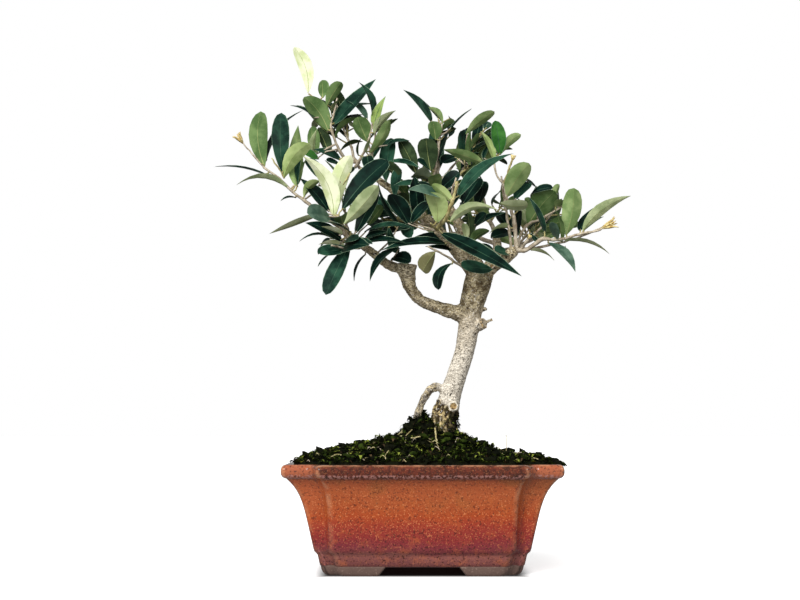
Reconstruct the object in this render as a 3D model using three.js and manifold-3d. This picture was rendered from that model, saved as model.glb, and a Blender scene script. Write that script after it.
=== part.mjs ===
// Olive bonsai in a glazed stoneware pot. Millimetres, +Z up, the front of the pot towards -Y.
// The origin is on the ground, under the middle of the whole plant's bounding box.
import * as THREE from 'three';
import { mergeVertices } from 'three/addons/utils/BufferGeometryUtils.js';
import Module from 'manifold-3d';

// Clearance between pieces that rest on each other.
const GAP = 0.3;

// Pot: a rectangle with stepped-in corners, concave flaring walls, a rolled lip and four feet.
const POT = {
  halfLength: 76.2, // at the foot of the wall
  depthLess: 25, // how much less the half depth is, at every height
  panelHalf: 64, // half length of the long face between its stepped-in corners
  cornerStep: 9, // how far the corner stands back from the long face, at the foot
  cornerStepGain: 5, // and how much further at the lip
  wallFoot: 19,
  wallTop: 69,
  lean: 10.5, // straight part of the wall's flare
  flare: 10, // curled part of the wall's flare, close under the lip
  flarePower: 6,
  panelLean: 1,
  panelFlare: 5,
  lipProud: 3.6,
  lipHeight: 10,
  wall: 7,
  lipWidth: 11,
  floorTop: 15,
  stepIn: 2.5, // the plinth stands back from the foot of the wall
  plinthLean: 3,
  footRound: 6,
  cornerBevel: 2.4,
};
POT.height = POT.wallTop + POT.lipHeight;
const FEET = { height: 7, skirt: 15, longArch: 56, shortArch: 40, archSlope: 3.5 };
const DRAIN = { radius: 8, fromMiddle: 34 };

// Earth and moss: a mound that rises from the lip to the seat of the trunk.
const SEAT = { x: 20, y: 0, z: 96, radius: 15 };
const EARTH = { brim: 76, slope: 2.2, steps: 5 };
const MOSS = { thickness: 4.2, lumps: 2.6, steps: 5, seed: 41, knoll: { x: 4, y: -2, rise: 8, spread: 13 } };

// Trunk, surface root and boughs: points of each centreline and the radius there.
const LIMBS = {
  trunk: {
    route: [[20, 0, 96], [20.6, 0, 108], [22, 0, 128], [31.9, 0, 158.8], [35.9, 0, 179], [37.8, 0, 193],
      [42.3, 0, 209], [44.5, 0, 217], [45.4, 0, 222.5]],
    radii: [12.4, 10.6, 7.9, 7.1, 7.7, 8.6, 10.4, 10.2, 8],
    sides: 12, steps: 16,
  },
  surface_root: {
    route: [[18, 0, 129.4], [10.3, -3, 133.9], [4.3, -4, 132.8], [-2.5, -5, 124.1], [-5.1, -5, 115.1], [-6.3, -5, 101],
      [-6.4, -5, 94]],
    radii: [2.9, 3.1, 3, 2.7, 2.5, 2.9, 3.3],
    sides: 7, steps: 14, cutBy: ['trunk'],
  },
  bough_left_lower: {
    route: [[34, 0, 187.6], [12.3, -2, 192.1], [-0.8, -4, 197.6], [-7.8, -5, 205.8], [-10.4, -6, 215.5],
      [-11.2, -6, 222.5]],
    radii: [5.6, 4.6, 4.1, 4.4, 6.2, 6.8],
    sides: 9, steps: 14, cutBy: ['trunk'],
  },
  bough_left_upper: {
    route: [[-11.8, -6, 219.8], [-24.7, -8, 223.7], [-37.2, -12, 232.8], [-49.5, -18, 241], [-58.1, -22, 249.2]],
    radii: [4.1, 3.6, 3.1, 2.7, 2.4],
    sides: 8, steps: 10, cutBy: ['bough_left_lower'],
  },
  bough_right: {
    route: [[45, -1, 216.5], [56.8, -4, 225.3], [64.1, -6, 229.7], [70.7, -8, 234.9]],
    radii: [6.4, 5.4, 4.7, 4.2],
    sides: 8, steps: 6, cutBy: ['trunk'],
  },
  bough_centre: {
    route: [[40, -3, 216.5], [26.4, -14, 234.6], [16.5, -22, 243.3], [11.2, -26, 247.5]],
    radii: [5.2, 4.2, 3.4, 3.3],
    sides: 8, steps: 6, cutBy: ['trunk'],
  },
  bough_crown: {
    route: [[45, 1, 218], [34.5, 6, 245.3], [22.5, 9, 269], [12.1, 10, 285.7]],
    radii: [5.4, 4.1, 3.3, 2.7],
    sides: 8, steps: 8, cutBy: ['trunk', 'bough_right', 'bough_centre'],
  },
  bough_upper_left: {
    route: [[41, 5, 217.5], [24.5, 17, 240.2], [11.6, 22, 256.1], [-12.9, 25, 278.2], [-35.2, 25, 295.3],
      [-47.1, 24, 302.2]],
    radii: [5.2, 4.4, 4, 3.3, 2.6, 2.2],
    sides: 8, steps: 11, cutBy: ['trunk', 'bough_centre', 'bough_crown'],
  },
  bough_back: {
    route: [[47, 4, 217], [55, 20, 229], [60, 36, 240], [60, 50, 254]],
    radii: [5, 4.3, 3.7, 3],
    sides: 8, steps: 7, cutBy: ['trunk', 'bough_right', 'bough_crown', 'bough_upper_left'],
  },
};
const ROOT_FLARE = { lobes: 5, depth: 0.16, height: 22 };
// Short stubs left by pruning on the trunk and on the first bough: middle, direction, length, radius.
const STUBS = [
  { on: 'trunk', at: [41, -3, 180], towards: [0.88, -0.25, 0.32], length: 9, radius: 4.3 },
  { on: 'trunk', at: [44, -2, 182], towards: [0.86, -0.2, 0.42], length: 13, radius: 1.3 },
  { on: 'trunk', at: [42, -2, 190], towards: [0.9, -0.1, 0.3], length: 9.5, radius: 1.5 },
  { on: 'trunk', at: [24, -2, 118], towards: [0.16, -0.98, -0.1], length: 9.5, radius: 4.2 },
];

// Leaves: all lengths are along the midrib.
const LEAF = {
  length: [30, 50],
  slender: [0.29, 0.45], // width over length
  widest: [0.48, 0.66], // where along the leaf it is widest
  fullness: 1.3,
  bend: [0.15, 0.95], // how far the blade curls back, in radians
  fold: 0.16, // how far the two halves rise from the midrib
  thickness: 0.03,
  stalk: [0.35, 0.45], // half width and depth of the stalk at its root
  rings: [0.38, 0.74],
  spread: [0.65, 1.15], // angle from its twig, in radians
  lift: 0.45, // how far it turns up to the light, or hangs where a mass says so
  youngest: 0.78, // size of the last pair on a shoot
  clear: 2.4, // kept free of limbs
  tries: [1, 0.88, 0.74], // sizes at which a leaf is tried before it is left out
  sway: 0.9, // how far it may turn round its twig, in radians
};
const TWIG = {
  internode: 14.5,
  stemRadius: [2.3, 1.6],
  shootRadius: [1.1, 0.9],
  reach: [0.38, 0.68], // length of a side shoot, as a share of the mass's least reach
  rise: 0.42, // how strongly side shoots turn up to the light
  spread: 0.95,
  sag: 0.1, // the stem hangs this share of its length below its chord
  clear: 2.2,
  tries: [1, 0.74, 0.55], // lengths at which a side shoot is tried before it is left out
};
const SPACE_MARGIN = 0.05;
const GOLDEN_ANGLE = 2.39996;

// Masses of foliage: the bough or trunk and how far along it the stem starts, the stem's tip, the middle and reach of
// the mass's own space, its side shoots and the seed of its growth.
const MASSES = [
  { name: 'foliage_left_tip', on: 'bough_left_upper', at: 1, tip: [-131, -30, 311], middle: [-112, -27, 290],
    reach: [52, 46, 55], shoots: 6, seed: 1377 },
  { name: 'foliage_left_rosette', on: 'bough_left_upper', at: 0.88, tip: [-60, -40, 282], middle: [-64, -42, 288],
    reach: [36, 39, 41], shoots: 5, seed: 1547 },
  { name: 'foliage_left_low', on: 'bough_left_upper', at: 0.62, tip: [-66, -44, 234], middle: [-58, -36, 236],
    reach: [41, 46, 34], shoots: 6, lift: -0.3, seed: 847 },
  { name: 'foliage_top_left', on: 'bough_upper_left', at: 1, tip: [-66, 17, 352], middle: [-71, 20, 346],
    reach: [43, 46, 57], shoots: 6, seed: 2616 },
  { name: 'foliage_top_inner', on: 'bough_upper_left', at: 0.88, tip: [-34, 4, 334], middle: [-34, 4, 322],
    reach: [32, 41, 50], shoots: 5, seed: 134 },
  { name: 'foliage_crown', on: 'bough_crown', at: 1, tip: [14, 4, 332], middle: [7, 6, 320], reach: [39, 46, 46],
    shoots: 6, seed: 2041 },
  { name: 'foliage_crown_right', on: 'bough_crown', at: 0.86, tip: [46, 18, 322], middle: [46, 16, 310],
    reach: [34, 46, 43], shoots: 5, seed: 1108 },
  { name: 'foliage_front', on: 'bough_centre', at: 1, tip: [25, -42, 284], middle: [24, -42, 268],
    reach: [50, 41, 39], shoots: 6, seed: 1433 },
  { name: 'foliage_under', on: 'bough_centre', at: 0.45, tip: [2, -30, 230], middle: [6, -28, 229],
    reach: [27, 32, 28], shoots: 4, lift: -0.5, seed: 1770 },
  { name: 'foliage_right_up', on: 'bough_right', at: 0.9, tip: [60, -14, 290], middle: [63, -14, 278],
    reach: [32, 43, 43], shoots: 5, seed: 820 },
  { name: 'foliage_right_tip', on: 'bough_right', at: 1, tip: [134, -20, 250], middle: [116, -18, 250],
    reach: [50, 46, 40], shoots: 6, seed: 1905 },
  { name: 'foliage_right_mid', on: 'bough_right', at: 0.72, tip: [104, 24, 270], middle: [96, 28, 266],
    reach: [41, 41, 36], shoots: 5, seed: 399 },
  { name: 'foliage_front_low', on: 'bough_centre', at: 0.5, tip: [52, -62, 240], middle: [44, -56, 232],
    reach: [46, 43, 30], shoots: 5, seed: 653 },
  { name: 'foliage_inner_left', on: 'bough_upper_left', at: 0.42, tip: [-22, -6, 262], middle: [-20, -4, 262],
    reach: [34, 41, 36], shoots: 5, seed: 163 },
  { name: 'foliage_back_left', on: 'bough_back', at: 0.8, tip: [-8, 76, 290], middle: [-6, 72, 288],
    reach: [50, 46, 46], shoots: 6, seed: 1378 },
  { name: 'foliage_back', on: 'bough_back', at: 1, tip: [48, 84, 302], middle: [52, 78, 292], reach: [43, 46, 46],
    shoots: 6, seed: 1173 },
  { name: 'foliage_back_right', on: 'bough_back', at: 0.62, tip: [104, 74, 262], middle: [98, 70, 258],
    reach: [46, 43, 39], shoots: 6, seed: 1908 },
];

const COLOURS = {
  glaze: { color: 0xa34a26, roughness: 0.22, metalness: 0 },
  earth: { color: 0x2a2018, roughness: 0.95, metalness: 0 },
  moss: { color: 0x2c3a14, roughness: 0.95, metalness: 0 },
  bark: { color: 0xb3a48c, roughness: 0.85, metalness: 0 },
  leaf: { color: 0x3d5a38, roughness: 0.5, metalness: 0 },
};

const wasm = await Module();
wasm.setup();

const point = (xyz) => new THREE.Vector3(...xyz);
const mix = (from, to, share) => from + (to - from) * share;
const UP = new THREE.Vector3(0, 0, 1);

// Repeatable random numbers from 0 to 1.
function seeded(seed) {
  const modulus = 2147483647;
  const multiplier = 48271;
  let state = (seed * 69621 + 12345) % modulus;
  const draw = () => {
    state = (state * multiplier) % modulus;
    return state / modulus;
  };
  draw();
  draw();
  return draw;
}

// Solids and geometries

function solidFrom(geometry) {
  const bare = new THREE.BufferGeometry();
  bare.setAttribute('position', geometry.getAttribute('position'));
  bare.setIndex(geometry.getIndex());
  const merged = mergeVertices(bare, 1e-4);
  const vertProperties = new Float32Array(merged.getAttribute('position').array);
  const triVerts = new Uint32Array(merged.getIndex().array);
  return new wasm.Manifold(new wasm.Mesh({ numProp: 3, vertProperties, triVerts }));
}

function geometryFrom(solid) {
  const mesh = solid.getMesh();
  const geometry = new THREE.BufferGeometry();
  geometry.setAttribute('position', new THREE.BufferAttribute(new Float32Array(mesh.vertProperties), 3));
  geometry.setIndex(new THREE.BufferAttribute(new Uint32Array(mesh.triVerts), 1));
  geometry.computeVertexNormals();
  return geometry;
}

// The largest body of a solid: scraps that a cut leaves are dropped.
function largest(solid) {
  return solid.decompose().reduce((best, body) => (body.volume() > best.volume() ? body : best));
}

// A closed skin over rings of equal count, with its two ends triangulated.
function loft(rings) {
  const count = rings[0].length;
  const positions = rings.flat().flatMap((p) => [p.x, p.y, p.z]);
  const faces = [];
  for (let i = 0; i + 1 < rings.length; i++) {
    const low = i * count;
    const high = low + count;
    for (let j = 0; j < count; j++) {
      const next = (j + 1) % count;
      faces.push(low + j, low + next, high + next, low + j, high + next, high + j);
    }
  }
  const last = (rings.length - 1) * count;
  for (const [a, b, c] of endTriangles(rings[0])) faces.push(a, c, b);
  for (const [a, b, c] of endTriangles(rings.at(-1))) faces.push(last + a, last + b, last + c);
  const geometry = new THREE.BufferGeometry();
  geometry.setAttribute('position', new THREE.Float32BufferAttribute(positions, 3));
  geometry.setIndex(faces);
  return geometry;
}

// Triangles of a flat ring, seen from the side that its turning points to.
function endTriangles(ring) {
  const normal = new THREE.Vector3();
  const middle = ring.reduce((sum, p) => sum.add(p), new THREE.Vector3()).divideScalar(ring.length);
  ring.forEach((p, i) => {
    const next = ring[(i + 1) % ring.length];
    normal.add(p.clone().sub(middle).cross(next.clone().sub(middle)));
  });
  const turn = new THREE.Quaternion().setFromUnitVectors(normal.normalize(), UP);
  const flat = ring.map((p) => {
    const q = p.clone().sub(middle).applyQuaternion(turn);
    return new THREE.Vector2(q.x, q.y);
  });
  return THREE.ShapeUtils.triangulateShape(flat, []);
}

// Pot

// Outline of the pot at one level: a rectangle whose corners step in, with every corner bevelled.
function potOutline({ length, depth, panel, corner, bevel }) {
  const outline = [];
  const corners = [[1, 1], [-1, 1], [-1, -1], [1, -1]];
  for (const [sx, sy] of corners) {
    const quarter = [
      [length, corner - bevel], [length - bevel, corner], [panel + bevel, corner],
      [panel, corner + bevel], [panel, depth - bevel], [panel - bevel, depth],
    ];
    if (sx * sy < 0) quarter.reverse();
    for (const [x, y] of quarter) outline.push(new THREE.Vector2(sx * x, sy * y));
  }
  return outline;
}

// Sizes of the outline where the wall is `rise` of the way up.
function wallSizes(rise) {
  const curl = rise ** POT.flarePower;
  const length = POT.halfLength + POT.lean * rise + POT.flare * curl;
  const depth = length - POT.depthLess;
  return {
    length,
    depth,
    panel: POT.panelHalf + POT.panelLean * rise + POT.panelFlare * curl,
    corner: depth - POT.cornerStep - POT.cornerStepGain * rise,
  };
}

function potRing(z, sizes, inset = 0) {
  const ring = potOutline({
    length: sizes.length - inset,
    depth: sizes.depth - inset,
    panel: sizes.panel - inset,
    corner: sizes.corner - inset,
    bevel: POT.cornerBevel,
  });
  return ring.map((p) => new THREE.Vector3(p.x, p.y, z));
}

const wallRise = (z) => THREE.MathUtils.clamp((z - POT.wallFoot) / (POT.wallTop - POT.wallFoot), 0, 1);
const wallRing = (z, inset) => potRing(z, wallSizes(wallRise(z)), inset);

function makePot() {
  const foot = wallSizes(0);
  const top = wallSizes(1);
  const rings = [];
  // Rounded underside of the feet and the plinth above it.
  for (const angle of [0, 0.5, 1].map((share) => (share * Math.PI) / 2)) {
    const inset = POT.stepIn + POT.plinthLean + POT.footRound * (1 - Math.sin(angle));
    rings.push(potRing(POT.footRound * (1 - Math.cos(angle)), foot, inset));
  }
  rings.push(potRing(POT.floorTop, foot, POT.stepIn));
  // Wall, from its foot to the lip.
  for (const rise of [0, 0.5, 0.82, 1]) {
    rings.push(potRing(mix(POT.wallFoot, POT.wallTop, rise), wallSizes(rise)));
  }
  // Rolled lip.
  for (const share of [0.12, 0.5, 0.88]) {
    const proud = POT.lipProud * Math.sqrt(Math.sin(Math.PI * share));
    rings.push(potRing(POT.wallTop + POT.lipHeight * share, top, -proud));
  }
  const lipOuter = 0.4;
  rings.push(potRing(POT.height, top, lipOuter));
  rings.push(potRing(POT.height, top, POT.lipWidth - POT.lipProud - lipOuter));
  // Inside, down to the floor.
  for (const z of [POT.wallTop, mix(POT.wallFoot, POT.wallTop, 0.8), POT.floorTop]) {
    rings.push(wallRing(z, POT.wall));
  }
  let pot = solidFrom(loft(rings));
  for (const cut of footCuts()) pot = pot.subtract(cut);
  return geometryFrom(pot);
}

// What is taken away under the pot: an arch through each pair of sides, the hollow inside the skirt and the drain holes.
function footCuts() {
  const base = wallSizes(0);
  const inset = POT.stepIn + POT.plinthLean + FEET.skirt;
  const hollow = loft([potRing(-1, base, inset), potRing(FEET.height, base, inset)]);
  const drains = [-1, 1].map((side) => {
    const drain = new THREE.CylinderGeometry(DRAIN.radius, DRAIN.radius, 2 * POT.floorTop, 20);
    return solidFrom(drain.rotateX(Math.PI / 2).translate(side * DRAIN.fromMiddle, 0, POT.floorTop));
  });
  return [arch(FEET.longArch, 0), arch(FEET.shortArch, Math.PI / 2), solidFrom(hollow), ...drains];
}

function arch(width, turn) {
  const shape = new THREE.Shape();
  const half = width / 2;
  const below = -2;
  shape.moveTo(-half, below);
  shape.lineTo(half, below);
  shape.lineTo(half, 0);
  shape.lineTo(half - FEET.archSlope, FEET.height);
  shape.lineTo(FEET.archSlope - half, FEET.height);
  shape.lineTo(-half, 0);
  const through = 3 * POT.halfLength;
  const solid = new THREE.ExtrudeGeometry(shape, { depth: through, bevelEnabled: false, steps: 1 });
  return solidFrom(solid.translate(0, 0, -through / 2).rotateX(Math.PI / 2).rotateZ(turn));
}

// Earth and moss

// A ring of the mound: `share` 0 is its brim inside the lip, 1 its top round the trunk.
function moundRing(share, lift) {
  const brim = wallRing(EARTH.brim, POT.wall + GAP);
  return brim.map((p) => {
    const out = new THREE.Vector3(p.x - SEAT.x, p.y - SEAT.y, 0);
    const far = out.length();
    out.multiplyScalar(mix(far, SEAT.radius, share) / far);
    const z = mix(EARTH.brim, SEAT.z, share ** EARTH.slope);
    return new THREE.Vector3(SEAT.x + out.x, SEAT.y + out.y, z + lift);
  });
}

function earthSolid() {
  const rings = [POT.floorTop + GAP, POT.wallFoot, mix(POT.wallFoot, POT.wallTop, 0.8), POT.wallTop]
    .map((z) => wallRing(z, POT.wall + GAP));
  for (let i = 0; i <= EARTH.steps; i++) rings.push(moundRing(i / EARTH.steps, 0));
  return solidFrom(loft(rings));
}

// A lumpy blanket over the earth, open round the trunk and the surface root.
function makeMoss() {
  const draw = seeded(MOSS.seed);
  const rings = [moundRing(0, GAP)];
  for (let i = 0; i <= MOSS.steps; i++) {
    const ring = moundRing(i / MOSS.steps, GAP + MOSS.thickness);
    for (const p of ring) {
      const away = Math.hypot(p.x - MOSS.knoll.x, p.y - MOSS.knoll.y) / MOSS.knoll.spread;
      p.z += MOSS.lumps * (draw() - 0.5) + MOSS.knoll.rise * Math.exp(-away * away);
    }
    rings.push(ring);
  }
  let moss = solidFrom(loft(rings)).subtract(earthSolid().translate([0, 0, GAP]));
  for (const name of ['trunk', 'surface_root']) moss = moss.subtract(limbSolid(name, GAP));
  return geometryFrom(largest(moss));
}

// Limbs

const limbCurve = (limb) => new THREE.CatmullRomCurve3(limb.route.map(point));

function limbRadius(limb, along) {
  const place = along * (limb.radii.length - 1);
  const index = Math.min(Math.floor(place), limb.radii.length - 2);
  return mix(limb.radii[index], limb.radii[index + 1], place - index);
}

function limbSolid(name, grow = 0) {
  const limb = LIMBS[name];
  const curve = limbCurve(limb);
  const frames = curve.computeFrenetFrames(limb.steps, false);
  const rings = [];
  for (let i = 0; i <= limb.steps; i++) {
    const along = i / limb.steps;
    const middle = curve.getPoint(along);
    const end = Number(i === limb.steps) - Number(i === 0);
    middle.addScaledVector(frames.tangents[i], end * grow);
    const ring = [];
    for (let j = 0; j < limb.sides; j++) {
      const angle = (j / limb.sides) * 2 * Math.PI;
      let radius = limbRadius(limb, along);
      if (name === 'trunk') radius *= flareAt(middle.z, angle);
      const spoke = frames.normals[i].clone().multiplyScalar(Math.cos(angle));
      spoke.addScaledVector(frames.binormals[i], Math.sin(angle));
      ring.push(middle.clone().addScaledVector(spoke, radius + grow));
    }
    rings.push(ring);
  }
  // The trunk's foot is cut level with the ground.
  if (name === 'trunk') rings[0].forEach((p) => { p.z = SEAT.z - grow; });
  return solidFrom(loft(rings));
}

// Lobes of the root flare, which fade out up the trunk.
function flareAt(z, angle) {
  const fade = Math.max(0, 1 - (z - SEAT.z) / ROOT_FLARE.height);
  return 1 + ROOT_FLARE.depth * fade * Math.cos(ROOT_FLARE.lobes * angle);
}

function stubSolid(stub, grow = 0) {
  const radius = stub.radius + grow;
  const cone = new THREE.CylinderGeometry(radius * 0.86, radius, stub.length + grow, 9);
  cone.translate(0, (stub.length + grow) / 2, 0);
  cone.applyQuaternion(new THREE.Quaternion().setFromUnitVectors(new THREE.Vector3(0, 1, 0), point(stub.towards).normalize()));
  return solidFrom(cone.translate(...stub.at));
}

function makeLimb(name) {
  let solid = limbSolid(name);
  for (const stub of STUBS.filter((s) => s.on === name)) solid = solid.add(stubSolid(stub));
  for (const other of LIMBS[name].cutBy ?? []) solid = solid.subtract(limbSolid(other, GAP));
  return geometryFrom(largest(solid));
}

// Growth of the foliage

// A centreline as short straight pieces with radii, for keeping leaves clear of it.
function guide(curve, radiusAt, steps, owner) {
  const pieces = [];
  for (let i = 0; i < steps; i++) {
    const line = new THREE.Line3(curve.getPoint(i / steps), curve.getPoint((i + 1) / steps));
    pieces.push({ line, radius: radiusAt((i + 0.5) / steps) });
  }
  return { pieces, owner };
}

function stemOf(mass) {
  const start = limbCurve(LIMBS[mass.on]).getPoint(mass.at);
  const tip = point(mass.tip);
  const middle = start.clone().add(tip).multiplyScalar(0.5);
  middle.z -= TWIG.sag * start.distanceTo(tip);
  return new THREE.QuadraticBezierCurve3(start, middle, tip);
}

const stemGuides = new Map();
const limbGuides = Object.entries(LIMBS)
  .map(([name, limb]) => guide(limbCurve(limb), (along) => limbRadius(limb, along), limb.steps, name));
for (const mass of MASSES) {
  stemGuides.set(mass.name, guide(stemOf(mass), () => TWIG.stemRadius[0], 8, mass.name));
}

// How far out in the mass's space a place is: 0 in its middle, 1 on its surface.
function shareOfReach(mass, p) {
  const [x, y, z] = [p.x - mass.middle[0], p.y - mass.middle[1], p.z - mass.middle[2]];
  return Math.hypot(x / mass.reach[0], y / mass.reach[1], z / mass.reach[2]);
}

function inOwnSpace(mass, p) {
  const own = shareOfReach(mass, p);
  return own < 1 && MASSES.every((other) => other === mass || shareOfReach(other, p) > own + SPACE_MARGIN);
}

function clearOf(guides, p, clearance) {
  const near = new THREE.Vector3();
  return guides.every(({ pieces }) => pieces.every(({ line, radius }) => (
    line.closestPointToPoint(p, true, near).distanceTo(p) > radius + clearance
  )));
}

// The side and the upper direction of a shoot at a place, square to its tangent.
function shootFrame(tangent) {
  const reference = Math.abs(tangent.z) > 0.97 ? new THREE.Vector3(0, 1, 0) : UP;
  const side = tangent.clone().cross(reference).normalize();
  return { side, upper: side.clone().cross(tangent) };
}

function outwards(tangent, angle) {
  const { side, upper } = shootFrame(tangent);
  return side.multiplyScalar(Math.cos(angle)).addScaledVector(upper, Math.sin(angle));
}

function growLeaf(root, tangent, angle, size, lift, draw) {
  const pick = ([low, high]) => mix(low, high, draw());
  const spread = pick(LEAF.spread);
  const along = tangent.clone().multiplyScalar(Math.cos(spread)).addScaledVector(outwards(tangent, angle), Math.sin(spread));
  along.addScaledVector(UP, lift).normalize();
  const face = tangent.clone().addScaledVector(UP, 0.55);
  face.addScaledVector(along, -face.dot(along)).normalize();
  const length = pick(LEAF.length) * size;
  const width = length * pick(LEAF.slender);
  const widest = pick(LEAF.widest);
  const bend = pick(LEAF.bend);
  return { root: root.clone(), along, face, across: along.clone().cross(face), length, width, widest, bend };
}

function leafHalfWidth(leaf, t) {
  const a = LEAF.fullness * leaf.widest;
  const b = LEAF.fullness * (1 - leaf.widest);
  return (leaf.width / 2) * (t / leaf.widest) ** a * ((1 - t) / (1 - leaf.widest)) ** b;
}

// A place on the blade: t runs from stalk to tip, side from -1 to 1 across it.
function leafPlace(leaf, t, side, lift = 0) {
  const turn = leaf.bend * t;
  const radius = leaf.length / leaf.bend;
  const half = leafHalfWidth(leaf, t);
  const normal = leaf.face.clone().multiplyScalar(Math.cos(turn)).addScaledVector(leaf.along, Math.sin(turn));
  return leaf.root.clone()
    .addScaledVector(leaf.along, Math.sin(turn) * radius)
    .addScaledVector(leaf.face, (Math.cos(turn) - 1) * radius)
    .addScaledVector(leaf.across, half * side)
    .addScaledVector(normal, half * LEAF.fold * Math.abs(side) + lift);
}

const OUTLINE_STEPS = [0.35, 0.7];

function leafOutline(leaf) {
  const [low, high] = OUTLINE_STEPS;
  return [[0.12, 0], [low, -1], [high, -1], [1, 0], [high, 1], [low, 1]].map(([t, side]) => leafPlace(leaf, t, side));
}

function leafFits(mass, leaf, guides, grown) {
  const outline = leafOutline(leaf);
  const samples = [...outline.slice(1), leafPlace(leaf, 0.35, 0), leafPlace(leaf, 0.6, 0), leafPlace(leaf, 0.85, 0)];
  if (!samples.every((p) => inOwnSpace(mass, p) && clearOf(guides, p, LEAF.clear))) return false;
  return grown.every((other) => !leavesCross(outline, other.outline));
}

const BLADE = [[0, 1, 5], [1, 2, 4], [1, 4, 5], [2, 3, 4]];
const RIM = [[0, 1], [1, 2], [2, 3], [3, 4], [4, 5], [5, 0], [0, 3]];

function leavesCross(one, other) {
  const reach = one[0].distanceTo(one[3]) + other[0].distanceTo(other[3]);
  if (one[3].distanceTo(other[3]) > reach + one[0].distanceTo(other[0])) return false;
  return cuts(one, other) || cuts(other, one);
}

function cuts(rims, blades) {
  return RIM.some(([a, b]) => BLADE.some(([i, j, k]) => {
    const start = rims[a];
    const ray = rims[b].clone().sub(start);
    const edge = blades[j].clone().sub(blades[i]);
    const other = blades[k].clone().sub(blades[i]);
    const cross = ray.clone().cross(other);
    const det = edge.dot(cross);
    if (Math.abs(det) < 1e-9) return false;
    const from = start.clone().sub(blades[i]);
    const u = from.dot(cross) / det;
    const turned = from.cross(edge);
    const v = ray.dot(turned) / det;
    const along = other.dot(turned) / det;
    return u >= 0 && v >= 0 && u + v <= 1 && along >= 0 && along <= 1;
  }));
}

// One mass: a stem, side shoots set round it by the golden angle, and leaves in crossed pairs on both.
function growMass(mass) {
  const draw = seeded(mass.seed);
  const stem = stemOf(mass);
  const length = stem.v0.distanceTo(stem.v2);
  const others = [...limbGuides, ...[...stemGuides.values()].filter((g) => g.owner !== mass.name)];
  const shoots = [];
  const roll = draw() * 2 * Math.PI;
  for (let i = 0; i < mass.shoots; i++) {
    const at = mix(0.22, 0.86, mass.shoots > 1 ? i / (mass.shoots - 1) : 0.5) + 0.1 * (draw() - 0.5);
    const root = stem.getPoint(at);
    const tangent = stem.getTangent(at);
    const towards = tangent.clone().multiplyScalar(Math.cos(TWIG.spread))
      .addScaledVector(outwards(tangent, roll + i * GOLDEN_ANGLE), Math.sin(TWIG.spread));
    towards.addScaledVector(UP, TWIG.rise * (0.4 + draw())).normalize();
    const reach = mix(...TWIG.reach, draw()) * Math.min(...mass.reach);
    for (const size of TWIG.tries) {
      const tip = root.clone().addScaledVector(towards, reach * size);
      const halfWay = root.clone().lerp(tip, 0.5);
      if (inOwnSpace(mass, tip) && [tip, halfWay].every((p) => clearOf(others, p, TWIG.clear))) {
        shoots.push({ path: new THREE.LineCurve3(root, tip), reach: reach * size });
        break;
      }
    }
  }
  const twigGuides = shoots.map((shoot, i) => guide(shoot.path, () => TWIG.shootRadius[0] - 0.9, 1, i));
  const leaves = [];
  const dress = (path, span, first, owner) => {
    const pairs = Math.max(2, Math.round((span * (1 - first)) / TWIG.internode) + 1);
    const turn = draw() * Math.PI;
    const guides = [...others, ...twigGuides.filter((g) => g.owner !== owner)];
    for (let k = 0; k < pairs; k++) {
      const at = mix(first, 0.985, k / (pairs - 1));
      const tangent = path.getTangent(at);
      for (const opposite of [0, Math.PI]) {
        for (const scale of LEAF.tries) {
          const angle = turn + k * (Math.PI / 2) + opposite + LEAF.sway * (draw() - 0.5);
          const size = scale * mix(1, LEAF.youngest, k / (pairs - 1));
          const leaf = growLeaf(path.getPoint(at), tangent, angle, size, mass.lift ?? LEAF.lift, draw);
          if (!leafFits(mass, leaf, guides, leaves)) continue;
          leaves.push({ ...leaf, outline: leafOutline(leaf) });
          break;
        }
      }
    }
  };
  dress(stem, length, 0.3, 'stem');
  shoots.forEach((shoot, i) => dress(shoot.path, shoot.reach, 0.4, i));
  return { stem, shoots, leaves };
}

// A twig with a few flat sides that tapers along its path.
function twigSolid(path, [thick, thin], sides, steps) {
  const rings = [];
  for (let i = 0; i <= steps; i++) {
    const along = i / steps;
    const middle = path.getPoint(along);
    const tangent = path.getTangent(along);
    const radius = mix(thick, thin, along);
    const ring = [];
    for (let j = 0; j < sides; j++) {
      ring.push(middle.clone().addScaledVector(outwards(tangent, (-2 * Math.PI * j) / sides), radius));
    }
    rings.push(ring);
  }
  return solidFrom(loft(rings));
}

// A leaf: a stalk sunk in the twig, then a folded, curled blade with a keel under its midrib and sharp edges.
function leafSolid(leaf) {
  const [stalkWide, stalkThick] = LEAF.stalk;
  const keel = -leaf.length * LEAF.thickness;
  const rings = [[
    leaf.root.clone().addScaledVector(leaf.across, -stalkWide),
    leaf.root.clone().addScaledVector(leaf.across, stalkWide),
    leaf.root.clone().addScaledVector(leaf.face, -stalkThick),
  ]];
  for (const t of LEAF.rings) rings.push([leafPlace(leaf, t, -1), leafPlace(leaf, t, 1), leafPlace(leaf, t, 0, keel)]);
  const positions = [...rings.flat(), leafPlace(leaf, 1, 0)].flatMap((p) => [p.x, p.y, p.z]);
  const faces = [0, 2, 1];
  const tip = 3 * rings.length;
  for (let i = 0; i < rings.length; i++) {
    for (let j = 0; j < 3; j++) {
      const [a, b] = [3 * i + j, 3 * i + ((j + 1) % 3)];
      if (i + 1 < rings.length) faces.push(a, b, b + 3, a, b + 3, a + 3);
      else faces.push(a, b, tip);
    }
  }
  const geometry = new THREE.BufferGeometry();
  geometry.setAttribute('position', new THREE.Float32BufferAttribute(positions, 3));
  geometry.setIndex(faces);
  return solidFrom(geometry);
}

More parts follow.
